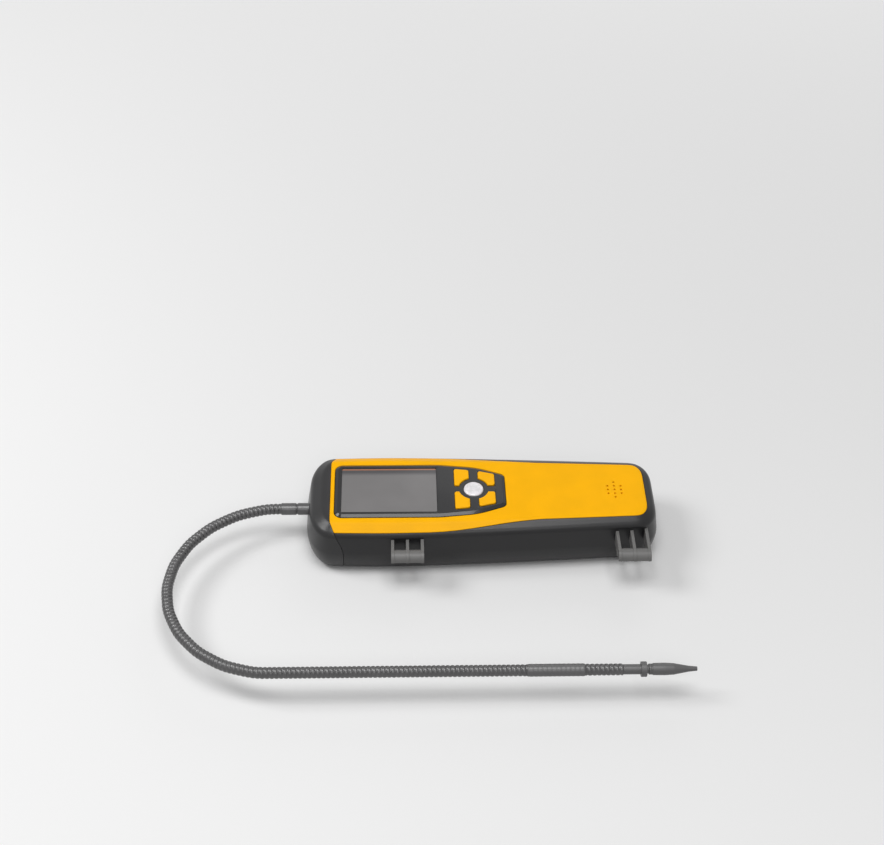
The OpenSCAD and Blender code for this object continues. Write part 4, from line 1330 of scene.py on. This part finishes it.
class DETECTOR_OT_stage(bpy.types.Operator):
    """Pale floor, soft studio light and the camera at the picture's viewing angle"""

    bl_idname = "detector.stage"
    bl_label = "Stage"

    # The point that all lamps face, beside the housing on the probe's side
    AIM = np.array([0.0, -0.04, 0.0])
    FLOOR_HALF, FLOOR_GAP = 4.0, 0.05 * MM

    def execute(self, context):
        stage = settings().stage
        self.floor(stage)
        self.sky(stage)
        lamps = {"key_light": ((0.0, -0.18, 1.15), 0.56, stage.key_power),
                 "side_light": ((-0.82, 0.07, 0.92), 0.46, stage.side_power),
                 "front_light": ((0.05, -0.92, 0.95), 0.5, stage.front_power),
                 "rim_light": ((0.3, 1.0, 0.7), 0.6, stage.rim_power)}
        for name, lamp in lamps.items():
            self.lamp(name, *lamp)
        self.camera(stage)
        context.scene.view_settings.view_transform = "Standard"
        return {"FINISHED"}

    def floor(self, stage):
        """A wide pale floor under the object, which keeps its tone where the lamps no longer reach."""
        half, level = self.FLOOR_HALF, CAD_LOW.z - self.FLOOR_GAP
        mesh = bpy.data.meshes.new("floor")
        corners = [(-half, -half, level), (half, -half, level), (half, half, level), (-half, half, level)]
        mesh.from_pydata(corners, [], [(0, 1, 2, 3)])
        f = Finish("Studio floor")
        cloud = f.noise(0.6, 2)
        tone = settings().finish.floor
        x, y = (f.place.make("ShaderNodeSeparateXYZ", None, {0: f.place}, out=axis) for axis in "XY")
        pool = (1 + (x * x + y * y) * stage.pool_radius ** -2) ** -2
        glow = backdrop_rays(f.tree) * (1 - pool)
        far = [stage.backdrop - stage.sky * part for part in tone]
        mesh.materials.append(f.surface(Base_Color=cloud.tint(shade(tone, 0.985), shade(tone, 1.015)),
                                        Roughness=0.85, Specular_IOR_Level=0.1,
                                        Emission_Color=glow.tint((0, 0, 0), far), Emission_Strength=1.0))
        obj = bpy.data.objects.new("floor", mesh)
        bpy.context.scene.collection.objects.link(obj)

    @staticmethod
    def sky(stage):
        """Even light all round, seen as a pale backdrop."""
        world = bpy.data.worlds.new("Studio")
        bpy.context.scene.world = world
        world.use_nodes = True
        tree = world.node_tree
        back = next(n for n in tree.nodes if n.type == "BACKGROUND")
        back.inputs["Color"].default_value = (1, 1, 1, 1)
        strength = stage.sky + backdrop_rays(tree) * (stage.backdrop - stage.sky)
        tree.links.new(strength.socket, back.inputs["Strength"])

    def lamp(self, name, place, width, power):
        """A square soft light that faces the object."""
        data = bpy.data.lights.new(name, "AREA")
        data.shape = "SQUARE"
        data.size = width
        data.energy = power
        obj = bpy.data.objects.new(name, data)
        back = np.array(place) - self.AIM
        back /= np.linalg.norm(back)
        right = np.cross((0, 0, 1) if abs(back[2]) < 0.99 else (0, 1, 0), back)
        right /= np.linalg.norm(right)
        obj.matrix_world = axes_at(place, right, np.cross(back, right), back)
        bpy.context.scene.collection.objects.link(obj)

    @staticmethod
    def camera(stage):
        """Camera that puts the middle of the face on its pixel of the picture."""
        el, yaw, roll = stage.elevation, stage.yaw, stage.roll
        ahead = np.array([math.cos(el) * math.sin(yaw), math.cos(el) * math.cos(yaw), -math.sin(el)])
        level = np.array([math.cos(yaw), -math.sin(yaw), 0.0])
        upright = np.cross(level, ahead)
        right = math.cos(roll) * level - math.sin(roll) * upright
        up = math.sin(roll) * level + math.cos(roll) * upright
        u = (stage.face_pixel[0] - PHOTO_WIDTH / 2) / stage.focal_pixels
        v = (PHOTO_HEIGHT / 2 - stage.face_pixel[1]) / stage.focal_pixels
        face = np.array([0, 0, high("front_panel").z])
        place = face - (ahead + u * right + v * up) * stage.distance
        data = bpy.data.cameras.new("camera")
        data.sensor_width = 36
        data.lens = stage.focal_pixels / PHOTO_WIDTH * data.sensor_width
        data.clip_start, data.clip_end = 0.01, 20
        obj = bpy.data.objects.new("camera", data)
        obj.matrix_world = axes_at(place, right, up, -ahead)
        bpy.context.scene.collection.objects.link(obj)
        bpy.context.scene.camera = obj


def axes_at(place, right, up, back):
    """Matrix of a lamp or a camera at a place, which looks away from its back."""
    return Matrix.Translation(place) @ Matrix((right, up, back)).transposed().to_4x4()


class DETECTOR_PT_panel(bpy.types.Panel):
    """Lists the steps that dress the detector"""

    bl_idname = "DETECTOR_PT_panel"
    bl_label = "Leak detector"
    bl_space_type = "VIEW_3D"
    bl_region_type = "UI"
    bl_category = "Detector"

    def draw(self, context):
        for operator in OPERATORS:
            self.layout.operator(operator.bl_idname)


OPERATORS = (DETECTOR_OT_stage, DETECTOR_OT_housing, DETECTOR_OT_keypad, DETECTOR_OT_clips,
             DETECTOR_OT_gooseneck, DETECTOR_OT_probe_fittings, DETECTOR_OT_inner_works)
GROUPS = (HousingSizes, KeypadSizes, ProbeSizes, FinishColours, StageSettings, DetectorSettings)


def register():
    """Registers the settings, the steps and the panel."""
    for cls in (*GROUPS, *OPERATORS, DETECTOR_PT_panel):
        bpy.utils.register_class(cls)
    bpy.types.Scene.detector = PointerProperty(type=DetectorSettings)


def unregister():
    """Removes what register() added."""
    del bpy.types.Scene.detector
    for cls in reversed((*GROUPS, *OPERATORS, DETECTOR_PT_panel)):
        bpy.utils.unregister_class(cls)


def main():
    """Dresses the detector."""
    register()
    bpy.ops.detector.stage()
    bpy.ops.detector.housing()
    bpy.ops.detector.keypad()
    bpy.ops.detector.clips()
    bpy.ops.detector.gooseneck()
    bpy.ops.detector.probe_fittings()
    bpy.ops.detector.inner_works()


if __name__ == "__main__":
    main()
